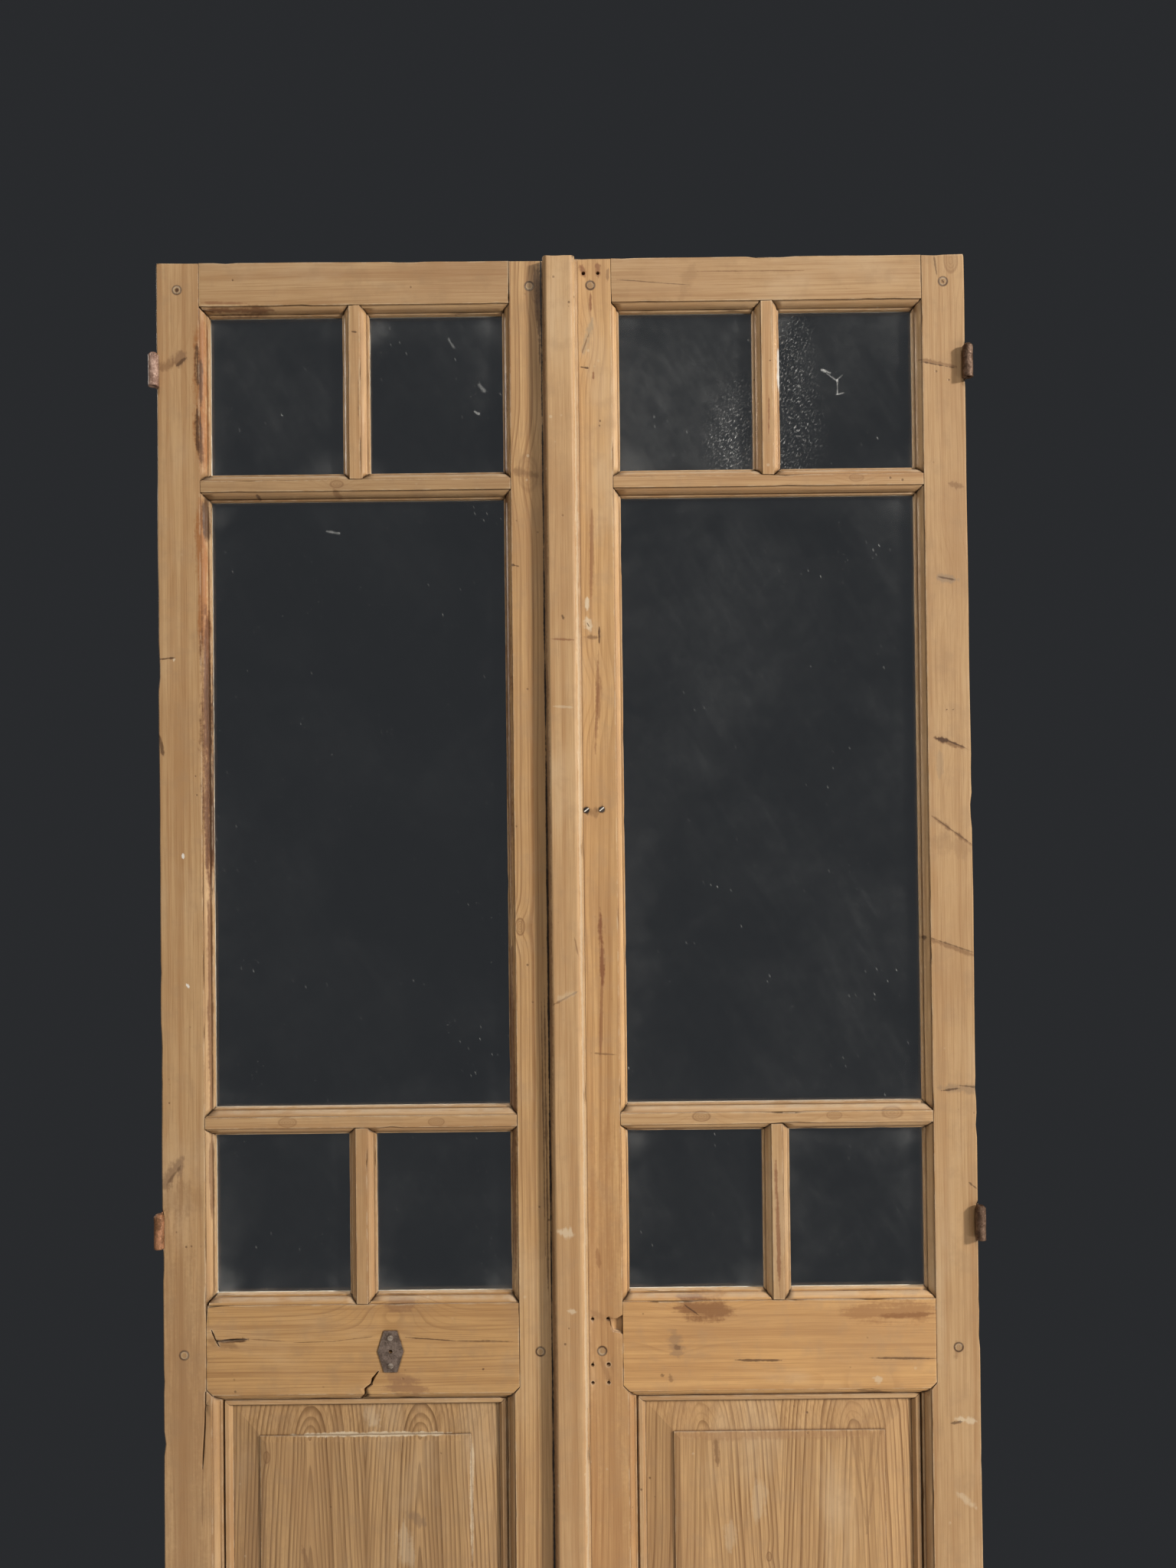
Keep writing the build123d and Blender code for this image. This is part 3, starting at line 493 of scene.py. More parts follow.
def pine(name, upright, heart, ring, slope, tone, contrast, wave=0.006, seed=0.0, pegs=(), twin=None,
         deep_gain=1.0, warm=0.0, bold=0.0, ring_of=None):
    """Stripped pine: rings cut along the member, knots that push them aside, fibre, patina and marks."""
    p = Paint(name)
    p.front = front_only(p)
    along, across, deep = (p.z, p.x, p.y) if upright else (p.x, p.z, p.y)
    if ring_of:
        inset = inset_from(p, ring_of)
        level = p.math("LESS_THAN", inset[1], inset[0])
        along, across = (p.add(one, p.mul(level, p.sub(two, one))) for one, two in ((p.z, p.x), (p.x, p.z)))
    along = p.add(along, seed)

    def grain(wide, long, *rest):
        """Noise drawn out along the member."""
        return p.noise(p.vector(p.mul(across, wide), p.mul(deep, wide), p.mul(along, long)), *rest)

    bend = p.sub(grain(5.0, 1.3, 1.6, 2.0), 0.5)
    ripple = p.sub(grain(14.0, 5.0, 2.0, 2.0), 0.5)
    a = p.sub(across, heart[0])
    if twin:
        a = p.sub(p.math("ABSOLUTE", a), twin)
    a = p.add(a, p.mul(bend, wave * 5.0))
    b = p.mul(p.add(p.sub(deep, heart[1]), p.mul(ripple, wave * 0.6)), deep_gain)
    radius = p.math("SQRT", p.add(p.mul(a, a), p.mul(b, b)))
    radius = p.add(radius, p.add(p.mul(along, slope), p.mul(ripple, wave * 0.45)))
    cores = None
    for x, z, size, push, depth in KNOTS.get(name, ()):
        far = far_from(p, x, z, *((1.0, 0.55) if upright else (0.55, 1.0)))
        ratio = p.mul(far, 1.0 / (size * 2.3))
        radius = p.add(radius, p.mul(p.math("EXPONENT", p.mul(p.mul(ratio, ratio), -1.0)), push))
        near = p.mul(p.add(far, p.mul(ripple, size * 0.9)), 1.0 / size)
        rim = p.span(p.math("ABSOLUTE", p.sub(near, 0.92)), 0.24, 0.04)
        whorl = p.mul(p.span(p.math("FRACT", p.mul(near, 3.1)), 0.55, 0.95), 0.5)
        core = p.mul(p.math("MAXIMUM", p.mul(p.span(near, 1.0, 0.8), p.add(whorl, 0.42)), rim), depth)
        cores = core if cores is None else p.math("MAXIMUM", cores, core)
    turn = p.mul(radius, 1.0 / ring)
    turn = p.add(turn, p.mul(p.sub(p.noise(p.vector(p.mul(turn, 0.31), seed, 0.0), 1.0, 1.0), 0.5), 1.5))
    phase = p.math("FRACT", turn)
    year = p.noise(p.vector(p.math("FLOOR", turn), seed, 0.0), 0.73, 0.0)
    start = p.span(year, 0.3, 0.7, 0.74 - 0.16 * bold, 0.38 - 0.26 * bold)
    late = p.mul(p.span(phase, start, 0.92), p.span(phase, 1.0, 0.94))
    late = p.mul(late, p.span(year, 0.3, 0.7, 0.25, 1.0))
    fade = grain(12.0, 2.0, 1.0, 2.0)
    late = p.mul(late, p.span(fade, 0.3, 0.65, 0.35 + 0.3 * bold, 1.0))
    fibre = grain(620.0, 11.0, 1.0, 3.0, 0.65)
    streak = grain(120.0, 1.6, 1.0, 2.0, 0.5)
    patch = grain(10.0, 3.6, 1.0, 4.0, 0.6)
    mottle = p.noise(p.place, 38.0, 4.0, 0.62)
    light = tuple(tone * v for v in (0.485 + 0.03 * warm, 0.312, 0.160 - 0.02 * warm))
    dark = tuple(tone * (1.0 - 0.42 * bold) * v for v in (0.235, 0.112, 0.042))
    colour = p.mix(p.mul(late, contrast), light, dark)
    colour = p.mix(p.span(streak, 0.42, 0.70, 0.0, 0.42), colour, tuple(1.25 * v for v in dark))
    colour = p.mix(p.span(fibre, 0.4, 0.74, 0.0, 0.40), colour, dark)
    colour = p.mix(p.span(patch, 0.44, 0.70, 0.0, 0.52), colour, (0.34 * tone, 0.190 * tone, 0.088 * tone))
    colour = p.mix(p.span(patch, 0.48, 0.26, 0.0, 0.50), colour, (0.53 * tone, 0.385 * tone, 0.240 * tone))
    colour = p.mix(p.span(mottle, 0.46, 0.72, 0.0, 0.34), colour, (0.33 * tone, 0.21 * tone, 0.115 * tone))
    if cores is not None:
        colour = p.mix(cores, colour, KNOT)
    specks = p.cells(p.vector(p.mul(p.x, 60.0), p.mul(p.y, 60.0), p.mul(p.z, 60.0)), 1.0)
    rare = p.noise(p.place, 15.0, 2.0)
    dots = p.mul(p.span(specks, 0.13, 0.05), p.span(rare, 0.60, 0.68))
    colour = p.mix(p.mul(dots, 0.6), colour, DARK)
    chips = p.mul(p.span(specks, 0.16, 0.08), p.span(rare, 0.36, 0.30))
    colour = p.mix(p.mul(chips, 0.4), colour, CREAM)
    ragged = p.sub(grain(150.0, 16.0, 1.0, 3.0, 0.6), 0.5)
    crumbs = p.sub(p.noise(p.place, 190.0, 3.0, 0.6), 0.5)
    colour = strokes(p, colour, MARKS.get(name, ()), ragged, crumbs)
    for x, z in pegs:
        far = p.add(far_from(p, x, z), p.mul(ripple, 0.0012))
        rim = p.math("ABSOLUTE", p.sub(far, 0.0052))
        colour = p.mix(p.mul(p.mul(p.span(rim, 0.0024, 0.0006), p.front), 0.95), colour, DARK)
    worn = p.span(p.noise(p.place, 46.0, 3.0, 0.65), 0.42, 0.62)
    rubbed = p.mul(p.span(p.crevice(0.0022, inside=True), 0.93, 0.55), worn)
    colour = p.mix(p.mul(rubbed, 0.55), colour, RUBBED)
    level = p.mul(p.span(p.parts(p.facing)[2], 0.35, 0.85), p.span(mottle, 0.30, 0.60, 0.35, 1.0))
    colour = p.mix(p.mul(level, 0.42), colour, DUST)
    # Dirt and painted shade: darker where the surface is hemmed in, in quirks, corners and between parts
    colour = p.mix(p.span(p.crevice(0.0024), 0.90, 0.42, 0.0, 0.80), colour, CREVICE_GRIME_AND_SHADE)
    rough = p.span(mottle, 0.3, 0.7, 0.44, 0.62)
    height = p.add(p.mul(late, 0.35), p.add(p.mul(fibre, 0.7), p.add(p.mul(mottle, 1.2), p.mul(dots, -2.5))))
    p.bump(height, 0.00030, 0.6)
    return p.finish(Base_Color=colour, Roughness=rough, Specular_IOR_Level=0.3)


def pane_glass(name, box, haze, corner, seed, lines=(), sparkle=None):
    """Old sheet glass: clear, a little dust, more of it at the rebates and corners, scratches and specks."""
    p = Paint(name)
    place = p.vector(p.add(p.x, seed), p.y, p.z)
    broad = p.noise(place, 6.0, 4.0, 0.6, 0.6)
    fine = p.noise(place, 60.0, 5.0, 0.7, 0.3)
    near = []
    for inset in inset_from(p, box):
        near.append(p.span(p.add(inset, p.mul(p.sub(broad, 0.5), -0.05)), 0.050, 0.010))
    edge = p.add(p.mul(p.math("MAXIMUM", *near), 0.12), p.mul(*near))
    edge = p.mul(edge, p.span(broad, 0.35, 0.7, 0.1, 1.0))
    slant = p.vector(p.mul(p.add(p.mul(p.x, 0.86), p.mul(p.z, 0.50)), 90.0), p.y,
                     p.mul(p.sub(p.mul(p.z, 0.86), p.mul(p.x, 0.50)), 9.0))
    wiped = p.noise(slant, 1.0, 4.0, 0.65, 0.4)
    dust = p.mul(p.span(broad, 0.38, 0.70, 0.25, 1.0), p.span(wiped, 0.36, 0.76, 0.55, 1.0))
    dust = p.mul(dust, haze * 0.9)
    dust = p.mul(p.add(dust, p.mul(edge, corner * 0.5)), p.span(fine, 0.25, 0.75, 0.45, 1.2))
    specks = p.cells(place, 120.0)
    rare = p.noise(place, 23.0, 1.0)
    dots = p.mul(p.span(specks, 0.10, 0.04), p.span(rare, 0.60, 0.66))
    dust = p.add(dust, p.mul(dots, 0.16))
    lean = p.vector(p.mul(p.add(p.mul(p.add(p.x, seed), 0.90), p.mul(p.z, 0.44)), 150.0), p.y,
                    p.mul(p.sub(p.mul(p.z, 0.90), p.mul(p.x, 0.44)), 40.0))
    fleck = p.mul(p.span(p.cells(lean, 1.0), 0.11, 0.05), p.span(p.noise(place, 11.0, 3.0, 0.6), 0.52, 0.64))
    dust = p.add(dust, p.mul(fleck, 5.0 * haze + 0.06))
    if sparkle:
        x, z, rx, rz, much = sparkle
        zone = p.span(p.add(far_from(p, x, z, 1.0 / rx, 1.0 / rz), p.sub(broad, 0.5)), 1.0, 0.2)
        drawn = p.vector(p.mul(p.add(p.x, p.mul(p.z, -0.5)), 400.0), p.y, p.mul(p.z, 240.0))
        grit = p.span(p.noise(drawn, 1.0, 4.0, 0.78), 0.54, 0.68)
        dust = p.add(dust, p.mul(p.mul(zone, grit), much))
    wobble = p.sub(p.noise(p.place, 130.0, 3.0, 0.6), 0.5)
    for x0, z0, x1, z1, width, strength in lines:
        far = p.add(far_from_line(p, x0, z0, x1, z1)[0], p.mul(wobble, width * 3.0))
        dust = p.add(dust, p.mul(p.span(far, width, width * 0.2), strength))
    dust = p.math("MINIMUM", dust, 1.0)
    colour = p.mix(dust, GLASS, PANE_DUST)
    clear = p.sub(1.0, p.mul(dust, 0.75))
    return p.finish(Base_Color=colour, Roughness=p.mul(dust, 0.4), IOR=1.46, Transmission_Weight=clear,
                    Specular_IOR_Level=0.4)


def rust(name, base, bright, seed, metal=0.35, flake=0.4, glints=()):
    """Rusted iron with darker pits and rubbed places."""
    p = Paint(name)
    shift = p.vector(p.add(p.x, seed), p.y, p.z)
    broad = p.noise(shift, 95.0, 4.0, 0.6)
    fine = p.noise(shift, 520.0, 4.0, 0.65)
    colour = p.mix(p.span(broad, 0.40, 0.62), base, bright)
    colour = p.mix(p.span(fine, 0.55, 0.72, 0.0, 0.65), colour, PIT)
    colour = p.mix(p.span(fine, 0.44, 0.30, 0.0, flake), colour, tuple(min(1.0, 1.9 * v) for v in bright))
    # Painted highlights: bright glints drawn along the given strokes
    for stroke in glints:
        colour = p.mix(p.span(far_from_line(p, *stroke)[0], 0.0010, 0.0005), colour, GLINT)
    p.bump(p.add(broad, p.mul(fine, 0.7)), 0.0010, 0.8)
    return p.finish(Base_Color=colour, Metallic=metal, Roughness=p.span(fine, 0.3, 0.7, 0.45, 0.8))


def old_putty(name):
    """Hard pale putty, mottled."""
    p = Paint(name)
    broad = p.noise(p.place, 40.0, 4.0, 0.6)
    colour = p.ramp(broad, (0.3, (0.30, 0.25, 0.19)), (0.55, (0.46, 0.42, 0.36)), (0.75, (0.55, 0.52, 0.47)))
    p.bump(broad, 0.0008, 0.6)
    return p.finish(Base_Color=colour, Roughness=p.span(broad, 0.3, 0.7, 0.7, 0.9))


# Materials, one for each wooden member so that its grain runs its own way
paints = {}
stile_pegs = {hand: [(s * HINGE_PEG_X, z) for z in PEG_HEIGHTS] for hand, s in HANDS.items()}
meet_pegs = {hand: [(s * MEETING_PEG_X, z) for z in PEG_HEIGHTS] for hand, s in HANDS.items()}
# Upright or not, heart of the log (across, behind), ring width, slope, tone, contrast, and what is special
timber = {
    "left_hinge_stile": (True, (-0.56, 0.055), 0.0050, 0.004, 0.98, 0.20, dict(
        seed=1.1, pegs=stile_pegs["left"])),
    "right_hinge_stile": (True, (0.57, 0.055), 0.0044, 0.005, 0.97, 0.26, dict(
        seed=6.4, pegs=stile_pegs["right"])),
    "left_meeting_stile": (True, (-0.12, 0.06), 0.0038, -0.004, 1.04, 0.80, dict(
        wave=0.003, seed=2.3, warm=0.6, bold=0.45, pegs=meet_pegs["left"])),
    "right_meeting_stile": (True, (0.085, 0.055), 0.0046, 0.007, 1.08, 0.46, dict(
        seed=7.5, warm=0.8, pegs=meet_pegs["right"])),
    "left_lock_rail": (False, (1.145, 0.045), 0.0044, 0.010, 0.92, 0.52, dict(
        wave=0.004, seed=5.6, warm=1.4)),
    "right_lock_rail": (False, (0.985, 0.045), 0.0052, 0.012, 1.12, 0.34, dict(seed=10.9, warm=1.5)),
    "astragal": (True, (0.09, 0.035), 0.0060, 0.004, 1.06, 0.14, dict(seed=17.0)),
}
for hand, s in HANDS.items():
    left = s < 0
    k = 0.0 if left else 5.3
    timber.update({
        hand + "_top_rail": (False, (2.49, 0.03), 0.0046, 0.012, 0.90 if left else 0.94, 0.36, dict(
            seed=3.7 + k)),
        hand + "_upper_bar": (False, (2.12, 0.05), 0.0036, 0.010, 0.82 if left else 1.0, 0.34, dict(
            seed=4.1 + k)),
        hand + "_lower_bar": (False, (1.36, 0.05), 0.0036, -0.012, 0.96 if left else 1.02, 0.32, dict(
            seed=4.9 + k)),
        hand + "_bottom_rail": (False, (0.09, 0.05), 0.0048, 0.014, 0.95, 0.32, dict(seed=6.2 + k)),
        hand + "_upper_muntin": (True, (s * 0.30, 0.05), 0.0038, 0.012, 1.07, 0.34, dict(seed=7.4 + k)),
        hand + "_lower_muntin": (True, (s * 0.25, 0.05), 0.0038, -0.012, 0.97, 0.36, dict(seed=8.8 + k)),
        hand + "_panel": (True, (s * 0.27, 0.0005), 0.0054, 0.045, 0.89 if left else 1.02, 1.0, dict(
            wave=0.0045, warm=0.6, seed=9.5 + k, twin=0.073 if left else 0.097, deep_gain=2.4,
            bold=1.0 if left else 0.7)),
        hand + "_panel_beads": (True, (s * 0.2, 0.05), 0.0040, 0.05, 0.98, 0.35, dict(
            seed=10.1 + k, ring_of=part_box(hand + "_panel_beads"))),
        hand + "_pegs": (True, (s * 0.27, 0.05), 0.0022, 0.4, 0.80, 0.4, dict(seed=11.9 + k)),
    })
for name, (*growth, special) in timber.items():
    paints[name] = pine(name, *growth, **special)
putty = old_putty("putty")
iron = {"left_top_hinge": rust("rust_flaked", (0.22, 0.125, 0.09), (0.42, 0.28, 0.22), 1.3, 0.15, 0.7),
        "left_middle_hinge": rust("rust_orange", (0.17, 0.075, 0.03), (0.36, 0.17, 0.085), 3.0, 0.2, 0.6),
        "right_top_hinge": rust("rust_brown", (0.085, 0.045, 0.026), (0.20, 0.125, 0.085), 5.0, 0.45)}
iron_brown = iron["right_top_hinge"]
plate_iron = rust("plate_iron", (0.105, 0.075, 0.060), (0.20, 0.150, 0.125), 7.0, 0.45, 0.5)
slots = ((0.0275, 1.7275), (0.0475, 1.7285))
# Painted glints: bright strokes across the two screw slots
slot_painted_glint = [(x - 0.0026, z - 0.0020, x + 0.0026, z + 0.0020) for x, z in slots]
screw_dark = rust("screw_dark", (0.030, 0.022, 0.018), (0.075, 0.056, 0.046), 9.0, 0.5, 0.2, slot_painted_glint)
screw_metal = rust("screw_metal", (0.19, 0.14, 0.105), (0.42, 0.36, 0.31), 11.0, 0.75)

# Dust on each pane: all over it, and in its corners
panes = {
    "left_upper_outer_pane": (0.012, 0.06),
    "left_upper_inner_pane": (0.014, 0.07),
    "left_tall_pane": (0.006, 0.06),
    "left_lower_outer_pane": (0.008, 0.15),
    "left_lower_inner_pane": (0.008, 0.13),
    "right_upper_inner_pane": (0.030, 0.05),
    "right_upper_outer_pane": (0.024, 0.05),
    "right_tall_pane": (0.014, 0.06),
    "right_lower_inner_pane": (0.016, 0.11),
    "right_lower_outer_pane": (0.016, 0.11),
}
# Smears on panes: two ends (x, z), width, strength
smears = {
    "right_upper_outer_pane": [
        (0.345, 2.307, 0.357, 2.303, 0.0020, 0.20), (0.352, 2.302, 0.366, 2.292, 0.0013, 0.15),
        (0.366, 2.294, 0.366, 2.274, 0.0013, 0.15), (0.366, 2.294, 0.373, 2.300, 0.0011, 0.13),
        (0.364, 2.274, 0.374, 2.276, 0.0012, 0.16)],
    "left_upper_inner_pane": [
        (-0.148, 2.353, -0.142, 2.343, 0.0022, 0.07), (-0.108, 2.292, -0.102, 2.284, 0.0026, 0.08),
        (-0.115, 2.257, -0.110, 2.254, 0.0026, 0.16), (-0.082, 2.281, -0.079, 2.278, 0.0016, 0.10)],
    "left_tall_pane": [(-0.312, 2.100, -0.296, 2.097, 0.0018, 0.10)],
}
# Lit grit on panes: x, z, half width, half height, strength
gleams = {
    "right_upper_inner_pane": (0.245, 2.215, 0.09, 0.12, 0.46),
    "right_upper_outer_pane": (0.297, 2.28, 0.06, 0.16, 0.32),
}
for i, (name, (haze, corner)) in enumerate(sorted(panes.items())):
    paints[name] = pane_glass(name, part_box(name), haze, corner, 1.7 * i, smears.get(name, ()),
                              gleams.get(name))


def prism(outline, front, back):
    """A closed block from an outline on the face and two depths, used to cut a wound into the wood."""
    bm = bmesh.new()
    near = [bm.verts.new((x, front, z)) for x, z in outline]
    deep = [bm.verts.new((x, back, z)) for x, z in outline]
    bm.faces.new(near)
    bm.faces.new(deep[::-1])
    for i in range(len(outline)):
        j = (i + 1) % len(outline)
        bm.faces.new((near[j], near[i], deep[i], deep[j]))
    bmesh.ops.recalc_face_normals(bm, faces=bm.faces)
    mesh = bpy.data.meshes.new("cutter")
    bm.to_mesh(mesh)
    bm.free()
    obj = bpy.data.objects.new("cutter", mesh)
    scene.collection.objects.link(obj)
    return obj


def crack(points, width, deep):
    """A split that follows points and narrows to its ends."""
    one, two = [], []
    for i, (x, z) in enumerate(points):
        w = width * (0.25 if i in (0, len(points) - 1) else 0.5)
        one.append((x - w, z + w * 0.3))
        two.append((x + w, z - w * 0.3))
    return prism(one + two[::-1], FACE - CUTTER_PROUD, FACE + deep)


def plain_mesh(name):
    """The node's own mesh, its points joined and its flat faces whole again."""
    bm = bmesh.new()
    bm.from_mesh(nodes[name].data)
    bmesh.ops.remove_doubles(bm, verts=bm.verts, dist=WELD)
    bmesh.ops.dissolve_limit(bm, angle_limit=FLAT_ANGLE, verts=bm.verts, edges=bm.edges)
    return bm


def cut_across(bm, way, low, high, gap):
    """Cut the faces at even steps along one axis, so that wear has points to move."""
    normal = Vector([1.0 if i == way else 0.0 for i in range(3)])
    count = max(1, round((high - low) / gap))
    for i in range(1, count):
        at = normal * (low + (high - low) * i / count)
        whole = bm.verts[:] + bm.edges[:] + bm.faces[:]
        bmesh.ops.bisect_plane(bm, geom=whole, plane_co=at, plane_no=normal, dist=WELD)


def soften(bm, edges, offset, segments):
    """Bevel edges, and give back the faces that makes."""
    made = bmesh.ops.bevel(bm, geom=edges, offset=offset, offset_type="OFFSET", segments=segments,
                           profile=0.5, affect="EDGES", clamp_overlap=False)
    return set(made["faces"])


def round_off(bm, broad, narrow):
    """Round the arrises: the open ones broadly, those of the mouldings a little."""
    def slim(e):
        return min(f.calc_area() for f in e.link_faces) / max(e.calc_length(), 1e-9) < SLIM_FACE

    def stands_out(e):
        return len(e.link_faces) == 2 and e.is_convex and e.calc_face_angle() > ARRIS_ANGLE

    def at_joint(e):
        return all(min(abs(abs(v.co.x) - at) for at in SHOULDERS) < 2e-4 for v in e.verts)

    open_ones = [e for e in bm.edges
                 if stands_out(e) and e.calc_length() > LEAST_OPEN_EDGE and not slim(e) and not at_joint(e)]
    fresh = soften(bm, open_ones, broad, 2)
    fine = [e for e in bm.edges
            if stands_out(e) and e.calc_length() > LEAST_FINE_EDGE and (slim(e) or at_joint(e))
            and not any(f in fresh for f in e.link_faces)]
    soften(bm, fine, narrow, 1)


def aged(name, body, upright, step, weft, round_to, wear=1.0, cuts=(), sharp=38.0):
    """The member as the years left it: arrises rounded, edges nicked, faces uneven; only ever inward."""
    bm = plain_mesh(name)
    mesh = bpy.data.meshes.new(name + "_aged")
    bm.to_mesh(mesh)
    bm.free()
    obj = bpy.data.objects.new(name + "_aged", mesh)
    scene.collection.objects.link(obj)
    for cutter in cuts:
        mod = obj.modifiers.new("cut", "BOOLEAN")
        mod.object = cutter
        mod.operation = "DIFFERENCE"
        mod.solver = "EXACT"
    if cuts:
        graph = bpy.context.evaluated_depsgraph_get()
        fresh = bpy.data.meshes.new_from_object(obj.evaluated_get(graph))
        obj.modifiers.clear()
        obj.data = fresh
        for cutter in cuts:
            bpy.data.objects.remove(cutter)
    bm = bmesh.new()
    bm.from_mesh(obj.data)
    bmesh.ops.remove_doubles(bm, verts=bm.verts, dist=WELD)
    corners = [e for e in bm.edges
               if all(abs(abs(v.co.x) - HALF) < 1e-4 and v.co.z > TOP - 1e-4 for v in e.verts)]
    soften(bm, corners, CORNER_ROUND, 4)
    round_off(bm, round_to, MOULDING_ROUND)
    axis, other = (2, 0) if upright else (0, 2)
    for way, gap in ((other, weft), (axis, step)):
        low, high = (f(v.co[way] for v in bm.verts) for f in (min, max))
        cut_across(bm, way, low, high, gap)
    bm.normal_update()
    moves = []
    for v in bm.verts:
        turns = [f.normal for f in v.link_faces]
        spread = max((a.angle(b, 0.0) for a in turns for b in turns), default=0.0)
        rim = min(1.0, max(0.0, (spread - 0.30) / 0.5))
        broad = 0.5 + 0.5 * noise.noise(v.co * 14.0)
        nick = max(0.0, noise.noise(v.co * 42.0 + Vector((3.1, 7.7, 1.9))) - 0.30)
        gouge = max(0.0, noise.noise(v.co * 17.0 + Vector((9.1, 2.7, 5.9))) - 0.42)
        moves.append(-wear * (0.00016 * broad + rim * (0.00035 * broad + 0.0030 * nick + 0.0050 * gouge)))
    for v, move in zip(bm.verts, moves):
        v.co += v.normal * move
        if abs(v.co.x) > HALF - EDGE_BAND:
            wavy = 0.0008 + 0.0008 * noise.noise(Vector((v.co.x, 0.0, v.co.z * 9.0)))
            chip = 0.006 * max(0.0, noise.noise(Vector((v.co.x, v.co.y * 20.0, v.co.z * 34.0))) - 0.38)
            v.co.x -= math.copysign(wavy + chip, v.co.x)
        if v.co.z > TOP - EDGE_BAND:
            wavy = 0.0005 + 0.0005 * noise.noise(Vector((v.co.x * 11.0, 5.0, 0.0)))
            v.co.z -= wavy + 0.004 * max(0.0, noise.noise(Vector((v.co.x * 40.0, v.co.y * 20.0, 2.0))) - 0.35)
        if body == "left_leaf" and v.co.z > TOP - FALL_BAND:
            v.co.z -= LEFT_TOP_FALL * (1.0 + v.co.x / HALF)
    for f in bm.faces:
        f.smooth = True
    bm.to_mesh(obj.data)
    bm.free()
    obj.data.set_sharp_from_angle(angle=math.radians(sharp))
    even = obj.modifiers.new("even_normals", "WEIGHTED_NORMAL")
    even.keep_sharp = True
    even.weight = 80
    obj.data.materials.clear()
    obj.data.materials.append(paints[name] if name in paints else putty)
    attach(obj, body)
    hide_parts(name)


def corroded(name, body):
    """A hinge as rust left it: pitted and flaked outside, its bore as it was."""
    bm = plain_mesh(name)
    low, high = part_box(name)
    for way, gap in ((2, 0.0016), (0, 0.0020), (1, 0.0020)):
        cut_across(bm, way, low[way], high[way], gap)
    bm.normal_update()
    pin = Vector((math.copysign(HALF, low[0]), PIN_Y))
    moves = []
    for v in bm.verts:
        pit = max(0.0, noise.noise(v.co * 210.0) - 0.05)
        broad = 0.5 + 0.5 * noise.noise(v.co * 75.0)
        out = min(1.0, max(0.0, ((v.co.xy - pin).length - BORE_KEPT) / BORE_BLEND))
        moves.append(-out * (0.00050 * pit + 0.00038 * broad))
    for v, move in zip(bm.verts, moves):
        v.co += v.normal * move
    for f in bm.faces:
        f.smooth = True
    mesh = bpy.data.meshes.new(name + "_rusted")
    bm.to_mesh(mesh)
    bm.free()
    mesh.set_sharp_from_angle(angle=math.radians(50.0))
    obj = bpy.data.objects.new(name + "_rusted", mesh)
    scene.collection.objects.link(obj)
    mesh.materials.append(iron.get(name, iron_brown))
    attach(obj, body)
    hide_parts(name)


# Splits cut into the wood: the points they follow, width, depth
splits = {
    "left_lock_rail": [
        ([(-0.250, 1.004), (-0.258, 0.994), (-0.259, 0.987), (-0.268, 0.981), (-0.267, 0.974),
          (-0.274, 0.966), (-0.272, 0.958)], 0.0026, 0.016),
        ([(-0.466, 1.059), (-0.461, 1.046), (-0.456, 1.038)], 0.0022, 0.004),
        ([(-0.459, 1.044), (-0.44, 1.046), (-0.420, 1.047)], 0.0026, 0.004),
    ],
    "left_hinge_stile": [
        ([(-0.4745, 0.979), (-0.4748, 0.955), (-0.4760, 0.930), (-0.4780, 0.900), (-0.4786, 0.880)],
         0.0008, 0.006),
    ],
}
# The torn-out place in the right meeting stile
hole = [(0.052, 1.066), (0.060, 1.068), (0.0685, 1.074), (0.0685, 1.047), (0.062, 1.051), (0.054, 1.052)]
# Wooden members of a leaf, and whether they stand upright
members = {
    "hinge_stile": True,
    "meeting_stile": True,
    "top_rail": False,
    "upper_bar": False,
    "lower_bar": False,
    "lock_rail": False,
    "bottom_rail": False,
    "upper_muntin": True,
    "lower_muntin": True,
    "panel": True,
}
for hand in HANDS:
    body = hand + "_leaf"
    for part, upright in members.items():
        name = hand + "_" + part
        cuts = [crack(*one) for one in splits.get(name, ())]
        if name == "right_meeting_stile":
            cuts = [prism(hole, FACE - CUTTER_PROUD, FACE + HOLE_DEPTH)]
        step, weft, sharp = (0.022, 0.015, 6.0) if part == "panel" else (0.016, 0.009, 38.0)
        round_to = 0.0016 if "stile" in part or "rail" in part else 0.0009
        aged(name, body, upright, step, weft, round_to, cuts=cuts, sharp=sharp)
    aged(hand + "_putty", body, True, 0.011, 0.011, 0.0008, 2.2)
    for place in ("top", "middle", "bottom"):
        corroded(hand + "_" + place + "_hinge", body)
aged("astragal", "right_leaf", True, 0.016, 0.006, 0.0018)

for name, obj in nodes.items():
    if name in paints:
        mat = paints[name]
    elif name.endswith("_putty"):
        mat = putty
    elif name.endswith("_hinge"):
        mat = iron.get(name, iron_brown)
    elif name == "hex_plate":
        mat = plate_iron
    elif name == "old_screws":
        mat = screw_dark
    else:
        mat = screw_metal
    obj.data.materials.clear()
    obj.data.materials.append(mat)
    if name.endswith("_pane"):
        obj.visible_shadow = False
    if name.endswith("_beads"):
        weld = obj.modifiers.new("weld", "WELD")
        weld.merge_threshold = WELD
        soft = obj.modifiers.new("soft", "BEVEL")
        soft.width, soft.segments, soft.limit_method = 0.0006, 2, "ANGLE"

# Floor, lamps and the plain dark surround that the glass looks through to
bpy.ops.mesh.primitive_plane_add(size=1.0, location=(0.0, -0.8, 0.0))
floor = bpy.context.object
floor.name = "floor"
floor.scale = (4.2, 3.4, 1.0)
pale = Paint("floor_pale")
cloud = pale.ramp(pale.noise(pale.place, 3.0), (0.3, (0.70, 0.69, 0.67)), (0.7, (0.74, 0.73, 0.71)))
floor.data.materials.append(pale.finish(Base_Color=cloud, Roughness=0.7))


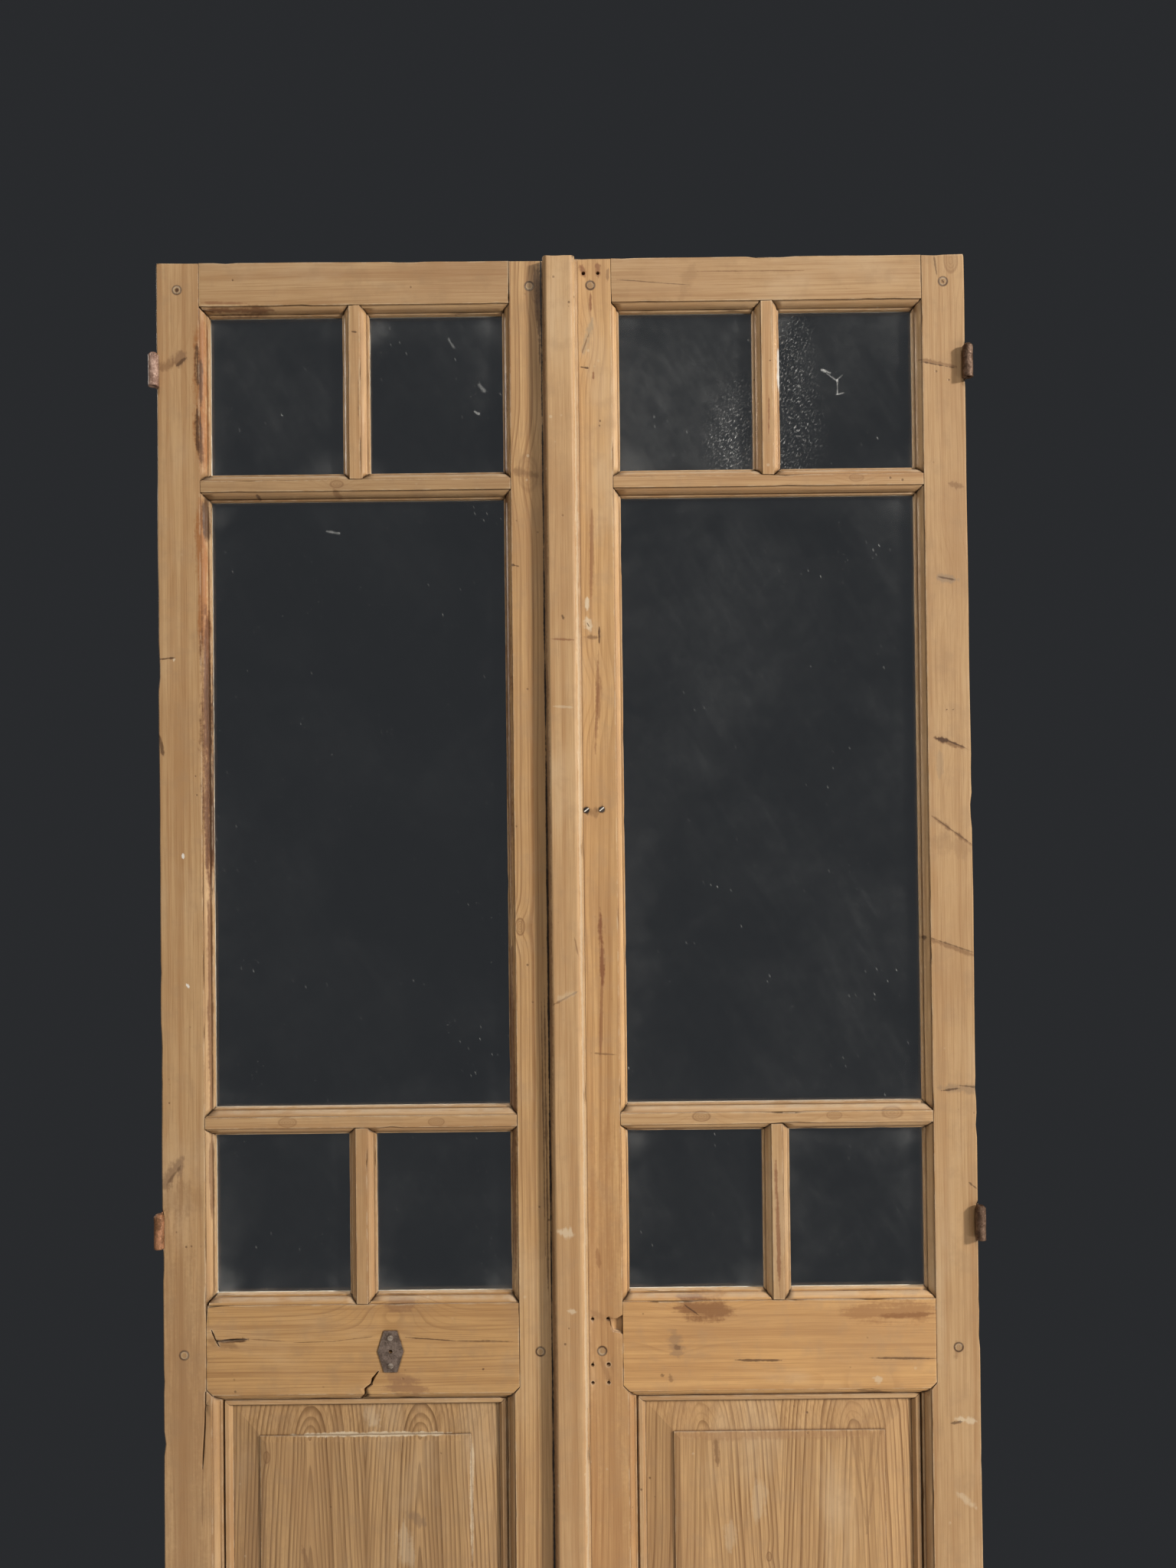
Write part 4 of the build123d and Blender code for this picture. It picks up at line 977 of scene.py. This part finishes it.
def lamp(name, at, aim, size, watts, colour=(1.0, 0.95, 0.88)):
    """A square soft lamp that looks at aim."""
    light = bpy.data.lights.new(name, "AREA")
    light.size = size
    light.energy = watts
    light.color = colour
    obj = bpy.data.objects.new(name, light)
    scene.collection.objects.link(obj)
    obj.location = at
    obj.rotation_euler = (Vector(aim) - Vector(at)).to_track_quat("-Z", "Y").to_euler()
    # A lamp lights the doors but isn't seen through their panes
    obj.visible_transmission = False


lamp("key", (6.4, -4.7, 4.3), (0.0, 0.0, 1.6), 0.71, 640.0)
lamp("fill", (0.3, -5.4, 6.6), (0.0, 0.0, 1.4), 1.5, 165.0, (1.0, 0.96, 0.90))
lamp("bounce", (3.0, -2.9, 0.5), (0.0, 0.0, 1.4), 1.0, 30.0)
lamp("rear", (-5.0, 4.0, 4.0), (0.0, 0.0, 1.4), 1.2, 130.0)

world = bpy.data.worlds.new("studio")
scene.world = world
world.use_nodes = True
tree = world.node_tree
path = tree.nodes.new("ShaderNodeLightPath")
back = tree.nodes["Background"]
back.inputs["Strength"].default_value = 1.0
seen = tree.nodes.new("ShaderNodeMath")
seen.operation = "MAXIMUM"
tree.links.new(path.outputs["Is Camera Ray"], seen.inputs[0])
tree.links.new(path.outputs["Is Transmission Ray"], seen.inputs[1])
shine = tree.nodes.new("ShaderNodeMath")
shine.operation = "MAXIMUM"
tree.links.new(seen.outputs[0], shine.inputs[0])
tree.links.new(path.outputs["Is Glossy Ray"], shine.inputs[1])
tone = tree.nodes.new("ShaderNodeMix")
tone.data_type = "RGBA"
colours = [s for s in tone.inputs if s.type == "RGBA"]
colours[0].default_value = AMBIENT
colours[1].default_value = SURROUND
tree.links.new(shine.outputs[0], tone.inputs[0])
tree.links.new([s for s in tone.outputs if s.type == "RGBA"][0], back.inputs["Color"])

# Camera where the photograph was taken from
roll, pitch, yaw = (math.radians(v) for v in CAMERA_TURNS)
ahead = Vector((math.sin(yaw) * math.cos(pitch), math.cos(yaw) * math.cos(pitch), math.sin(pitch)))
right = Vector((math.cos(yaw), -math.sin(yaw), 0.0))
up = right.cross(ahead)
side = math.cos(roll) * right + math.sin(roll) * up
rise = -math.sin(roll) * right + math.cos(roll) * up
view = bpy.data.cameras.new("photo_view")
view.lens = SENSOR * FOCAL_PX / PHOTO_HEIGHT_PX
camera = bpy.data.objects.new("photo_view", view)
scene.collection.objects.link(camera)
stand = Matrix.Translation((CAMERA_X, FACE - CAMERA_AWAY, TOP - CAMERA_BELOW_TOP))
camera.matrix_world = stand @ Matrix((side, rise, -ahead)).transposed().to_4x4()
scene.camera = camera
scene.view_settings.view_transform = "Standard"
